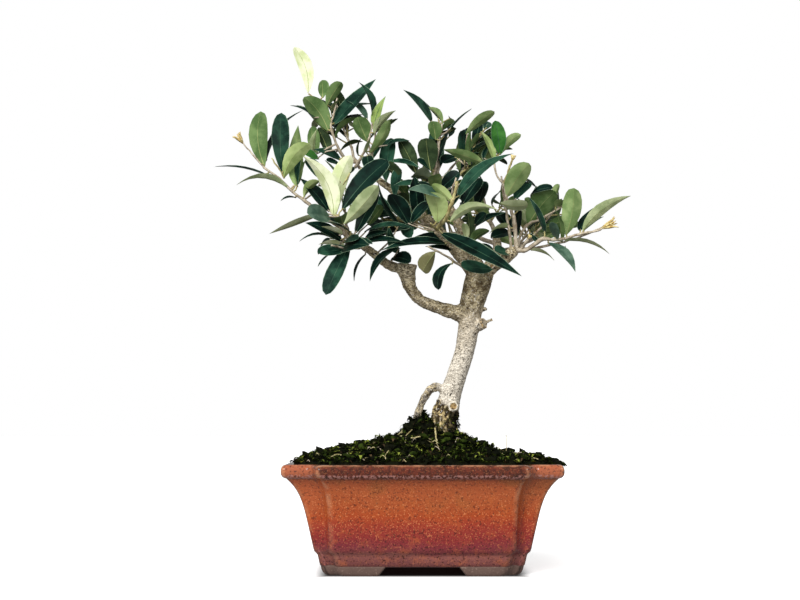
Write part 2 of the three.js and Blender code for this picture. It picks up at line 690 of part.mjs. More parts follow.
function makeMass(mass) {
  const { stem, shoots, leaves } = growMass(mass);
  let solid = twigSolid(stem, TWIG.stemRadius, 3, 4);
  for (const shoot of shoots) solid = solid.add(twigSolid(shoot.path, TWIG.shootRadius, 3, 1));
  for (const leaf of leaves) solid = solid.add(leafSolid(leaf));
  solid = solid.subtract(limbSolid(mass.on, GAP));
  return geometryFrom(largest(solid));
}

// Assembly

function piece(name, geometry, finish) {
  const mesh = new THREE.Mesh(geometry, new THREE.MeshStandardMaterial(COLOURS[finish]));
  mesh.name = name;
  return mesh;
}

const bonsai = new THREE.Group();
bonsai.add(piece('pot', makePot(), 'glaze'));
bonsai.add(piece('earth', geometryFrom(earthSolid()), 'earth'));
bonsai.add(piece('moss', makeMoss(), 'moss'));
for (const name of Object.keys(LIMBS)) bonsai.add(piece(name, makeLimb(name), 'bark'));
for (const mass of MASSES) bonsai.add(piece(mass.name, makeMass(mass), 'leaf'));

// Centre the plant's bounding box over the origin.
const box = new THREE.Box3().setFromObject(bonsai);
const centre = box.getCenter(new THREE.Vector3());
bonsai.children.forEach((mesh) => mesh.position.set(-centre.x, -centre.y, 0));

export default bonsai;
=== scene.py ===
"""An olive bonsai in its glazed pot: leaves, twigs, bark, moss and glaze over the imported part."""

import math

import bmesh
import bpy
import numpy as np
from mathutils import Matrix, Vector, noise


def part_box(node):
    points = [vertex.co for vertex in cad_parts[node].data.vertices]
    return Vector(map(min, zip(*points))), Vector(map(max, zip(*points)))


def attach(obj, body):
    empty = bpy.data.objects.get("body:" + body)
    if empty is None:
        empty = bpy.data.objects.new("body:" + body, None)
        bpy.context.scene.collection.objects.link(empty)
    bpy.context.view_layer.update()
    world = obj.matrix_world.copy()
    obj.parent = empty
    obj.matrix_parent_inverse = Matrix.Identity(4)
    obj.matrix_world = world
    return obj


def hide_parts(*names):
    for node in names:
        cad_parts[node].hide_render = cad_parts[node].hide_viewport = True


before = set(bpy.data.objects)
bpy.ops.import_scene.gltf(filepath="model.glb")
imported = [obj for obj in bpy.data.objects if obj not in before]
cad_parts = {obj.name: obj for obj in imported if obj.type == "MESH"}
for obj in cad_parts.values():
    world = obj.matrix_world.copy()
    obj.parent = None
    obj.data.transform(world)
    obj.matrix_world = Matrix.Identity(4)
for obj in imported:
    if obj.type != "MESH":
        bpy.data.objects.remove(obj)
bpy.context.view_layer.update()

# Sizes are in millimetres from the middle of the pot on the ground, with the front towards -Y.
MM = 0.001
pot_low, pot_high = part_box("pot")
POT_MIDDLE = np.array([(pot_low.x + pot_high.x) / 2, (pot_low.y + pot_high.y) / 2, 0.0])
UP = np.array([0.0, 0.0, 1.0])
FULL_TURN = 2 * math.pi
# Where the camera stands, how many degrees it looks up, and its lens and sensor.
EYE = np.array([-16.0, -1100.0, 110.0])
LOOK_UP = 4.718
LENS, SENSOR = 65.78, 36.0
SEEDS = {"moss": 41, "litter": 47, "front": 7}

# Pot. Its wall leans out evenly from the foot to the top, and the last part of it curls out further.
WALL = {
    "half_length": 77.8, "lean": 11.3, "curl": 7.6, "curl_power": 6, "depth_less": 20.5, "depth_lean": 4.5,
    "panel": 65.2, "panel_lean": 2, "panel_curl": 4, "corner_step": 8.0, "corner_lean": 3, "corner_slant": 4,
    "round_out": 3.6, "round_in": 5.0, "segments": 8, "foot": 19.0, "top": 69.0,
}
# Rings of the body: height, how far up the wall from 0 to 1 the outline is taken, and inset.
PLINTH_RINGS = [
    (6.4, 0, 5.4), (7.0, 0, 4.6), (9.0, 0, 4.0), (13.0, 0, 3.2), (14.6, 0, 2.8), (15.6, 0, 2.0),
    (17.0, 0, 0.7), (19.0, 0, 0.0),
]
WALL_RISES = (0.04, 0.12, 0.24, 0.36, 0.48, 0.58, 0.68, 0.76, 0.83, 0.89, 0.94, 0.975)
LIP_RINGS = [
    (68.6, 1, 0.5), (69.0, 1, 0.3), (69.5, 1, -1.4), (70.4, 1, -2.5), (72.0, 1, -3.4), (74.0, 1, -3.6),
    (76.0, 1, -3.5), (77.5, 1, -2.9), (78.5, 1, -1.9), (79.0, 1, -0.4), (79.0, 1, 1.6), (78.8, 1, 4.4),
    (78.6, 1, 6.0), (78.0, 1, 6.8), (76.0, 1, 7.0), (66.0, 0.93, 7.0), (50.0, 0.62, 7.0), (15.0, 0, 7.0),
]
LIP_TOP = 79.0
# Edges where the glaze has run thin: their strength at the foot. Then a painted highlight along the top of
# the lip, weaker outside it.
EDGE_AT_FOOT = 0.25
CREST_HIGHLIGHT = {"height": 78.8, "spread": 0.9, "outside": -2.5, "outside_share": 0.3}
# Feet: height and inset of their rings, and how their sides slant to the arches.
FOOT_RINGS = ((7.4, 4.8), (5.6, 5.0), (3.6, 5.5), (1.8, 6.4), (0.6, 7.6), (0.0, 9.0))
FEET = {
    "skirt": 19.0, "long_arch": 51.0, "short_arch": 40.0, "arch_top": 7, "long_slant": 0.8,
    "short_slant": 0.5, "steeper_front": 0.6, "corner_slant": 5, "segments": 4,
}
QUARTERS = ((1, 1), (-1, 1), (-1, -1), (1, -1))

# Earth and moss. The trunk stands in the seat, and the moss meets the lip at the brim.
SEAT = {"x": 20.0, "y": 0.0, "z": 99.0, "radius": 15.0}
BRIM, BRIM_INSET = 78.0, 5.0
SLOPE = (1.15, 3.4)
# The bed's mesh, its thickness, the height of broad and small cushions, and how they grow in from the brim.
MOSS = {
    "around": 144, "rings": 34, "hole": 0.45, "sunk": 3, "thick": 4.2, "thick_at_brim": 0.6, "broad": 4.2,
    "small": 2.8, "cushions_at_brim": 0.35, "gain": 5,
}
# Broad and small cushions: their width, and the layer of the noise that they follow.
BROAD, SMALL = (9, 3.1), (4.2, 8.2)
# Tufts of sprigs, single fronds, moss on the trunk's foot and moss on the lip: how many, length, half width,
# droop, and the share of each tone, or the share that is brown and how lit the green and light ones are.
TUFT = {
    "count": 6200, "length": (1.8, 4.2), "half": (0.35, 0.7), "droop": 0.6, "brown": 0.05, "green": 0.12,
    "light": 0.78, "sunk": 0.6, "blades": (4, 7), "upright": (0.35, 1.1), "spread": (0.4, 1.0),
}
FROND = {
    "count": 1300, "length": (4.5, 8.5), "half": (0.7, 1.3), "droop": 1.4, "brown": 0.1, "green": -0.1,
    "light": 0.5, "sunk": 0.4, "upright": (0.3, 0.9),
}
CLIMBER = {
    "count": 170, "length": (2, 4.2), "half": (0.4, 0.8), "droop": 0.8, "tones": (0.76, 0.17, 0.07),
    "angles": (-1.25, 0.6), "climb": 14, "middle": (17.2, 0.0), "away": 9.6,
}
CREEPER = {
    "count": 420, "length": (3, 6.5), "half": (0.7, 1.3), "droop": 0.9, "tones": (0.65, 0.28, 0.07),
    "x": (82, 101.5), "y": (-42, 12), "middle": (93, -15), "reach": (11, 29), "height": 4.6, "overhang": 98,
    "sunk": 0.8, "clod_each": 6, "clod": (1.5, 2.6), "clod_shape": (1.4, 1, 0.8),
}
CLODS = {"count": 330, "size": (1.5, 3.6), "shape": (1.5, 0.9, 0.7), "tilt": 0.35, "lift": 0.3, "rough": 0.16}
# Where sprigs and clods stand: margin of the random places, how far past the brim, and how far from the seat.
SPRIG_GROUND, CLOD_GROUND = (0, 1.0, 7), (2, -2, 13)
# Rises and hollows of the moss beside the trunk: x, y, height and spread.
KNOLLS = [(0.0, -3.0, 13.0, 10.0), (-9.0, -5.0, 5.0, 7.0), (35.0, 0.0, -9.0, 11.0), (20.0, -16.0, -3.0, 10.0)]

# Straws and rootlets lying on the moss: points, and the radius at each end.
LITTER = [
    ([(9.8, -13.5, 105), (10.3, -19, 100), (10.6, -24, 96), (11, -28, 93)], 0.75, 0.5),
    ([(-8, -24, 96.5), (0, -25, 98.5), (7, -24, 96)], 0.6, 0.4),
    ([(-16, -20, 93), (-12, -19, 98.5), (-7, -16, 103.5)], 0.4, 0.3),
    ([(63.5, 2, 85), (63.9, 2, 92), (63.7, 2, 99)], 0.25, 0.2),
    ([(-31, -58, 83), (-28.5, -61, 85.5), (-26, -64, 84)], 0.4, 0.3),
    ([(-24, -57, 89), (-26.5, -62, 85), (-26, -66, 83)], 0.35, 0.25),
    ([(-66, -52, 83.5), (-61, -54, 86), (-56, -55, 85)], 0.55, 0.4),
    ([(26, -12, 104), (28.5, -14, 99), (30.5, -14, 94)], 0.6, 0.4),
    ([(-14, -70, 81.5), (-13, -74.5, 82.8), (-11.5, -76, 80.5)], 0.3, 0.2),
]
LITTER_POINTS, LITTER_LIFT = 9, 0.9
# Short straws strewn over the moss, with shares of the half length and the height above the moss there.
STRAWS = {
    "tries": 50, "margin": 6, "front_margin": 3, "clear": 14, "half": (1.5, 5), "dark": 0.5,
    "steps": ((-1, 0.2), (-0.3, 1.6), (0.4, 1.8), (1, 0.4)), "radii": (0.3, 0.35, 0.3, 0.2),
}

# Trunk, surface root and boughs: points of each centreline, the radius at each, and how many straight pieces
# stand for it where leaves keep clear of it.
LIMBS = {
    "trunk": (
        [[20, 0, 99], [20.6, 0, 111], [22, 0, 131], [31.9, 0, 161.8], [35.9, 0, 182], [37.8, 0, 196],
         [42.3, 0, 212], [44.5, 0, 220], [45.4, 0, 225.5]],
        [12.4, 10.6, 7.9, 7.1, 7.7, 8.6, 10.4, 10.2, 8], 16),
    "surface_root": (
        [[18, 0, 132.4], [10.3, -3, 136.9], [4.3, -4, 135.8], [-2.5, -5, 127.1], [-5.1, -5, 118.1],
         [-6.3, -5, 104], [-6.4, -5, 97]],
        [2.9, 3.1, 3, 2.7, 2.5, 2.9, 3.3], 14),
    "bough_left_lower": (
        [[34, 0, 190.6], [12.3, -2, 195.1], [-0.8, -4, 200.6], [-7.8, -5, 208.8], [-10.4, -6, 218.5],
         [-11.2, -6, 225.5]],
        [5.6, 4.6, 4.1, 4.4, 6.2, 6.8], 14),
    "bough_left_upper": (
        [[-11.8, -6, 222.8], [-24.7, -8, 226.7], [-37.2, -12, 235.8], [-49.5, -18, 244], [-58.1, -22, 252.2]],
        [4.1, 3.6, 3.1, 2.7, 2.4], 10),
    "bough_right": (
        [[45, -1, 219.5], [56.8, -4, 228.3], [64.1, -6, 232.7], [70.7, -8, 237.9]],
        [6.4, 5.4, 4.7, 4.2], 6),
    "bough_centre": (
        [[40, -3, 219.5], [26.4, -14, 237.6], [16.5, -22, 246.3], [11.2, -26, 250.5]],
        [5.2, 4.2, 3.4, 3.3], 6),
    "bough_crown": (
        [[45, 1, 221], [34.5, 6, 248.3], [22.5, 9, 272], [12.1, 10, 288.7]],
        [5.4, 4.1, 3.3, 2.7], 8),
    "bough_upper_left": (
        [[41, 5, 220.5], [24.5, 17, 243.2], [11.6, 22, 259.1], [-12.9, 25, 281.2], [-35.2, 25, 298.3],
         [-47.1, 24, 305.2]],
        [5.2, 4.4, 4, 3.3, 2.6, 2.2], 11),
    "bough_back": (
        [[47, 4, 220], [55, 20, 232], [60, 36, 243], [60, 50, 257]],
        [5, 4.3, 3.7, 3], 7),
}
LIMBS = {
    name: (np.array(route, float), np.array(radii, float), pieces)
    for name, (route, radii, pieces) in LIMBS.items()
}
# Limbs as they are seen, where they differ a little from their solids.
SEEN = {
    "trunk": (
        [[17.4, 0, 98], [16.6, 0, 109], [18.8, 0, 117.5], [20.6, 0, 124], [22.4, 0, 131], [26.3, 0, 143],
         [32.8, 0, 163], [36.1, 0, 182], [37.9, 0, 196], [42.3, 0, 212], [44.5, 0, 220], [45.4, 0, 225.5]],
        [10.8, 9.8, 9.5, 8.5, 8, 7.5, 7.3, 8.1, 9, 10.4, 10.2, 8]),
    "surface_root": (
        [[18, 0, 131.6], [12.4, -3, 135.2], [7, -4, 133], [1.8, -5, 126.4], [-1.7, -5, 118.6],
         [-3.6, -5, 109], [-4.6, -5, 98]],
        [3.1, 3.2, 3, 2.8, 2.7, 2.8, 3.4]),
    "bough_left_lower": (
        [[35, 0, 190], [24.5, -1, 191.6], [12.3, -2, 195.1], [-0.8, -4, 200.6], [-7.8, -5, 208.8],
         [-10.4, -6, 218.5], [-11.2, -6, 225.5]],
        [8.2, 5.8, 4.7, 4.2, 4.5, 6.2, 6.8]),
}
SEEN = {name: (np.array(route, float), np.array(radii, float)) for name, (route, radii) in SEEN.items()}
ROOT_FLARE = {"lobes": 5, "depth": 0.12, "height": 18.0, "sunk": 14, "spread": 1.12}
# Stubs left by pruning: middle, direction, length, radius at the root and at the cut, and how fresh it is.
# The last one is the knob at the end of bough_left_lower.
STUBS = [
    ([43.4, -4, 181.6], [0.82, -0.5, 0.28], 10, 5.2, 4.2, 0.3),
    ([48.4, -5, 183.4], [0.88, -0.1, 0.42], 12, 1.4, 1.1, 0.5),
    ([45.2, -2, 192.8], [0.92, -0.1, 0.3], 9.5, 1.8, 1.4, 0.0),
    ([22.9, -4.9, 121.2], [0.16, -0.98, -0.1], 11, 4.5, 4, 1.0),
    ([52, -6, 224], [0.3, -0.8, 0.5], 5, 2.2, 1.7, 0.8),
    ([-10.2, -6, 223.6], [0.12, -0.15, 1], 8, 5.6, 7, 0.4),
]
# The limbs' rough tubes, and how they are fused (the voxel is in metres) and smoothed.
SKIN = {
    "steps": 4, "sides": 20, "lumps": 0.1, "stub_rings": 9, "stub_sides": 14, "voxel": 0.0008,
    "smoothings": 3, "smoothing": 0.5,
}
# Old bark at the trunk's foot: its upper limit, which falls to the right, and how ragged and soft that is.
# Then where moss, dark as painted shade, covers its right side, and where the root's own old bark starts.
FOOT_BARK = {"high": 129.0, "low": 118.0, "fall": 0.9, "from": 11, "ragged": 2.5, "soft": 2.5}
FOOT_MOSS_AND_SHADE = {"from": 18, "ragged": 2, "soft": 4}
ROOT_BARK = {"to": 14, "soft": 3}
# Relief of the bark: how rugged each part is, how deep plates, lumps and grain are, and the depth of all.
RUGGED = {"trunk": 0.36, "foot": 2.8, "root": 1.3, "bough": 0.6}
RELIEF = {"plates": 0.75, "lumps": 0.55, "fine": 0.45, "depth": 0.75}
# Plates of bark: width, length on a limb and on the foot, and how far limbs are apart in the noise.
PLATES = {"width": 2.1, "length": (6.5, 12), "apart": 7}
# Warmth of the bark on the root and the boughs as a share of the foot's, and the size of the knob that is
# painted pale as light against the leaves' shade.
WARMTH = {"root": 0.68, "bough": 0.12}
KNOB = 7
# Saw cuts: thickness of the cut's skin, its share of the stub's radius, hollow, heart and soft edge.
CUT = {"skin": 1.6, "within": 0.95, "hollow": 1.5, "heart": 0.5, "soft": 0.15}

# Leaves and twigs
LEAF = {
    "length": (30, 50), "slender": (0.29, 0.45), "widest": (0.48, 0.66), "fullness": 1.3,
    "bend": (0.15, 0.95), "fold": 0.16, "spread": (0.65, 1.15), "face_up": 0.55, "youngest": 0.78,
    "clear": 2.4, "tries": (1, 0.88, 0.74), "sway": 0.9, "ripple": (0.0, 0.06),
}
TWIG = {
    "internode": 14.5, "stem_radius": 2.3, "shoot_radius": 0.2, "reach": (0.38, 0.68), "rise": 0.42,
    "least_rise": 0.4, "spread": 0.95, "sag": 0.1, "clear": 2.2, "tries": (1, 0.74, 0.55),
    "along": (0.22, 0.86), "sway": 0.1, "bare_stem": 0.3, "bare_shoot": 0.4, "end": 0.985,
}
# Section of a leaf: least half width, rib, keel, ripples along it, the margin, and the blade's least share.
SECTION = {
    "least": 0.45, "rib": 0.28, "rib_share": 0.3, "keel": (0.2, 0.4), "ripples": 7, "margin": 0.3,
    "blade": 0.8,
}
# Leaves set one by one: bend and fold, greatest width, when one is short or slim, where each kind is widest,
# and how slender a slim one's tip is.
SET_LEAF = {
    "bend": (0.2, 0.5), "fold": (0.12, 0.3), "broadest": 21.0, "broad": 0.62, "short": 24,
    "short_broad": 0.85, "slim": 0.27, "slim_widest": (0.46, 0.54), "widest": (0.56, 0.64), "slim_point": 1.7,
}
# Twigs set one by one: how far they sway, and how deep and close their lumps are.
SET_TWIG = {"sway": 0.15, "lumps": 0.12, "lumps_each": 3.5}
# Leaf stalks: the gap from which one is made, the gap from which it is woody, how crooked it is for its
# length, how far it runs into the leaf, and its radii.
STALK = {"from": 1.0, "woody": 6, "crook": 0.06, "into": 1.5, "radii": (0.8, 0.65, 0.5)}
# A grown leaf keeps this far behind a set one, and this share of it lies where the crown is closed.
BEHIND, COVERED = 2, 0.75
# Grown leaves: the share that leaves its spray's tone, changes of size, and when and how far one is slim.
GROWN = {"stray": 0.4, "longer": (1.0, 1.18), "wider": (0.78, 1.1), "slim": 0.32, "slim_point": 1.6}
# Grown stems and shoots: radii, points along them, how far they sway, and the share of young shoots.
BEARER = {
    "stem": 1.3, "stem_behind": 2.1, "stem_end": 0.5, "stem_points": 15, "stem_sway": 0.35,
    "shoot": (1.15, 0.65), "shoot_points": 7, "shoot_sway": 0.25, "young": 0.6,
}
# Twiglets: how many on a stem and a shoot, how many more behind the trunk, where on it, their direction,
# length and radii, how crooked they are, and the turn and sizes of leaf that are tried.
TWIGLET = {
    "on_stem": 5, "on_shoot": 3, "more_behind": 4, "behind": 5, "along": (0.35, 0.9), "ahead": 0.7,
    "rise": 0.3, "length": (6, 13), "radii": (0.75, 0.6, 0.5), "crook": 0.2, "turn": (-0.5, 0.5),
    "tries": (0.62, 0.5, 0.38),
}
# Sepals of a dry flower cup.
SEPAL = {"count": 6, "sway": 0.2, "bend": (0.5, 1.0), "radii": (0.5, 0.85, 0.7, 0.25)}
SPACE_MARGIN = 0.05
GOLDEN_ANGLE = 2.39996

# Masses of foliage: bough, how far along it the stem starts, the stem's tip, middle and reach of the mass's
# own space, side shoots, lift of the leaves, seed, and how many leaves in ten have each tone, old to young.
MASSES = [
    ("foliage_left_tip", "bough_left_upper", 1, (-131, -30, 314), (-112, -27, 293), (52, 46, 55),
     6, 0.45, 1377, (1, 2, 4, 3, 0)),
    ("foliage_left_rosette", "bough_left_upper", 0.88, (-60, -40, 285), (-64, -42, 291), (36, 39, 41),
     5, 0.45, 1547, (3, 2, 1, 1, 3)),
    ("foliage_left_low", "bough_left_upper", 0.62, (-66, -44, 237), (-58, -36, 239), (41, 46, 34),
     6, -0.3, 847, (6, 3, 1, 0, 0)),
    ("foliage_top_left", "bough_upper_left", 1, (-66, 17, 355), (-71, 20, 349), (43, 46, 57),
     6, 0.45, 2616, (3, 3, 2, 1, 1)),
    ("foliage_top_inner", "bough_upper_left", 0.88, (-34, 4, 337), (-34, 4, 325), (32, 41, 50),
     5, 0.45, 134, (2, 3, 3, 2, 0)),
    ("foliage_crown", "bough_crown", 1, (14, 4, 335), (7, 6, 323), (39, 46, 46),
     6, 0.45, 2041, (4, 3, 3, 0, 0)),
    ("foliage_crown_right", "bough_crown", 0.86, (46, 18, 325), (46, 16, 313), (34, 46, 43),
     5, 0.45, 1108, (4, 3, 3, 0, 0)),
    ("foliage_front", "bough_centre", 1, (25, -42, 287), (24, -42, 271), (50, 41, 39),
     6, 0.45, 1433, (4, 2, 2, 2, 0)),
    ("foliage_under", "bough_centre", 0.45, (2, -30, 233), (6, -28, 232), (27, 32, 28),
     4, -0.5, 1770, (6, 3, 1, 0, 0)),
    ("foliage_right_up", "bough_right", 0.9, (60, -14, 293), (63, -14, 281), (32, 43, 43),
     5, 0.45, 820, (3, 2, 2, 3, 0)),
    ("foliage_right_tip", "bough_right", 1, (134, -20, 253), (116, -18, 253), (50, 46, 40),
     6, 0.45, 1905, (2, 2, 3, 3, 0)),
    ("foliage_right_mid", "bough_right", 0.72, (104, 24, 273), (96, 28, 269), (41, 41, 36),
     5, 0.45, 399, (3, 3, 3, 1, 0)),
    ("foliage_front_low", "bough_centre", 0.5, (52, -62, 243), (44, -56, 235), (46, 43, 30),
     5, 0.45, 653, (6, 3, 1, 0, 0)),
    ("foliage_inner_left", "bough_upper_left", 0.42, (-22, -6, 265), (-20, -4, 265), (34, 41, 36),
     5, 0.45, 163, (5, 3, 2, 0, 0)),
    ("foliage_back_left", "bough_back", 0.8, (-8, 76, 293), (-6, 72, 291), (50, 46, 46),
     6, 0.45, 1378, (3, 3, 3, 1, 0)),
    ("foliage_back", "bough_back", 1, (48, 84, 305), (52, 78, 295), (43, 46, 46),
     6, 0.45, 1173, (3, 3, 3, 1, 0)),
    ("foliage_back_right", "bough_back", 0.62, (104, 74, 265), (98, 70, 261), (46, 43, 39),
     6, 0.45, 1908, (3, 3, 3, 1, 0)),
]
MASS_KEYS = ("name", "on", "at", "tip", "middle", "reach", "shoots", "lift", "seed", "tones")
MASSES = [dict(zip(MASS_KEYS, row)) for row in MASSES]
for mass in MASSES:
    for key in ("tip", "middle", "reach"):
        mass[key] = np.array(mass[key], float)

# Twigs set one by one where the front of the crown shows them: radius at the root and the tip, whether young,
# and points.
SET_TWIGS = [
    (1.445, 0.51, 0, [
        (-58.4, -22, 251.9), (-73.7, -27, 261.9), (-85, -29, 271.1), (-96.3, -30, 279.5),
        (-105.7, -31, 288.8), (-115.1, -32, 295.4), (-118, -32, 298.2), (-125, -33, 306.1),
        (-132, -34, 314.6)]),
    (0.765, 0.595, 1, [
        (-101.4, -31, 288.4), (-104.6, -33, 294.3), (-110.5, -36, 302.7)]),
    (1.445, 0.595, 0, [
        (-47.3, 24, 309.7), (-56.7, 20, 311.4), (-62, 16, 316.6), (-66.3, 12, 325.9), (-69.2, 10, 337.4),
        (-67.3, 10, 344.3), (-64.3, 9, 357.6)]),
    (1.275, 0.595, 0, [
        (-50.9, 22, 305.7), (-44.7, 14, 314.3), (-41.7, 10, 320.5), (-39.7, 8, 326.1), (-37.8, 7, 333.8)]),
    (0.85, 0.51, 1, [
        (-68.7, 10, 339.4), (-76, 8, 350.9), (-81.8, 7, 357.1), (-86.5, 6, 360.3)]),
    (1.7, 1.275, 0, [
        (-51.1, -26, 242), (-57.5, -34, 247.6), (-59.8, -40, 254.1), (-61, -42, 259)]),
    (1.53, 0.68, 0, [
        (12.3, 10, 291.7), (10.1, 6, 295.8), (11, 2, 302), (13.3, -2, 315), (14.3, -4, 325.6)]),
    (1.275, 0.68, 0, [
        (12.9, 10, 291.7), (19.1, 10, 297.9), (24.5, 8, 304.5), (29.9, 6, 309.6), (34.7, 4, 316.1)]),
    (1.87, 1.19, 1, [
        (11.6, -26, 251), (13.7, -33, 253.5), (17.4, -42, 256.8), (20.7, -50, 264.9), (23.6, -53, 273.5),
        (25.1, -55, 282.3)]),
    (1.105, 0.68, 1, [
        (11.6, -26, 251), (8.4, -36, 251.7), (6.3, -44, 253.3)]),
    (1.105, 0.68, 0, [
        (37.7, -6, 221.2), (30, -14, 224.7), (21.7, -22, 229.5), (11, -30, 234.6), (4.3, -34, 237.5)]),
    (2.04, 1.53, 0, [
        (71.8, -8, 238), (70.7, -10, 249.5), (68.9, -14, 263.7)]),
    (1.275, 0.595, 0, [
        (69.2, -13, 260.7), (66.2, -16, 269.8), (63.2, -17, 277), (61.3, -18, 286.4), (57.7, -18, 290.7),
        (54.6, -18, 299.2), (56.2, -18, 307.7)]),
    (0.765, 0.765, 1, [
        (61.3, -18, 286.4), (64.4, -20, 294.6), (68, -22, 304.3)]),
    (1.36, 0.68, 0, [
        (71.8, -8, 239.1), (75.2, 0, 249.7), (81.1, 6, 259), (91.7, 10, 263.9), (101.6, 12, 269.6),
        (109.2, 13, 274.1)]),
    (1.955, 0.595, 0, [
        (71.8, -8, 237.5), (78.6, -14, 237.3), (90.9, -18, 245.3), (97.1, -19, 244.1), (106.4, -20, 245),
        (116.7, -21, 248), (132.3, -22, 251), (136, -22, 253.6)]),
    (1.275, 1.105, 0, [
        (74.8, -10, 237.2), (77, -16, 241.3), (79.2, -20, 244.5)]),
]
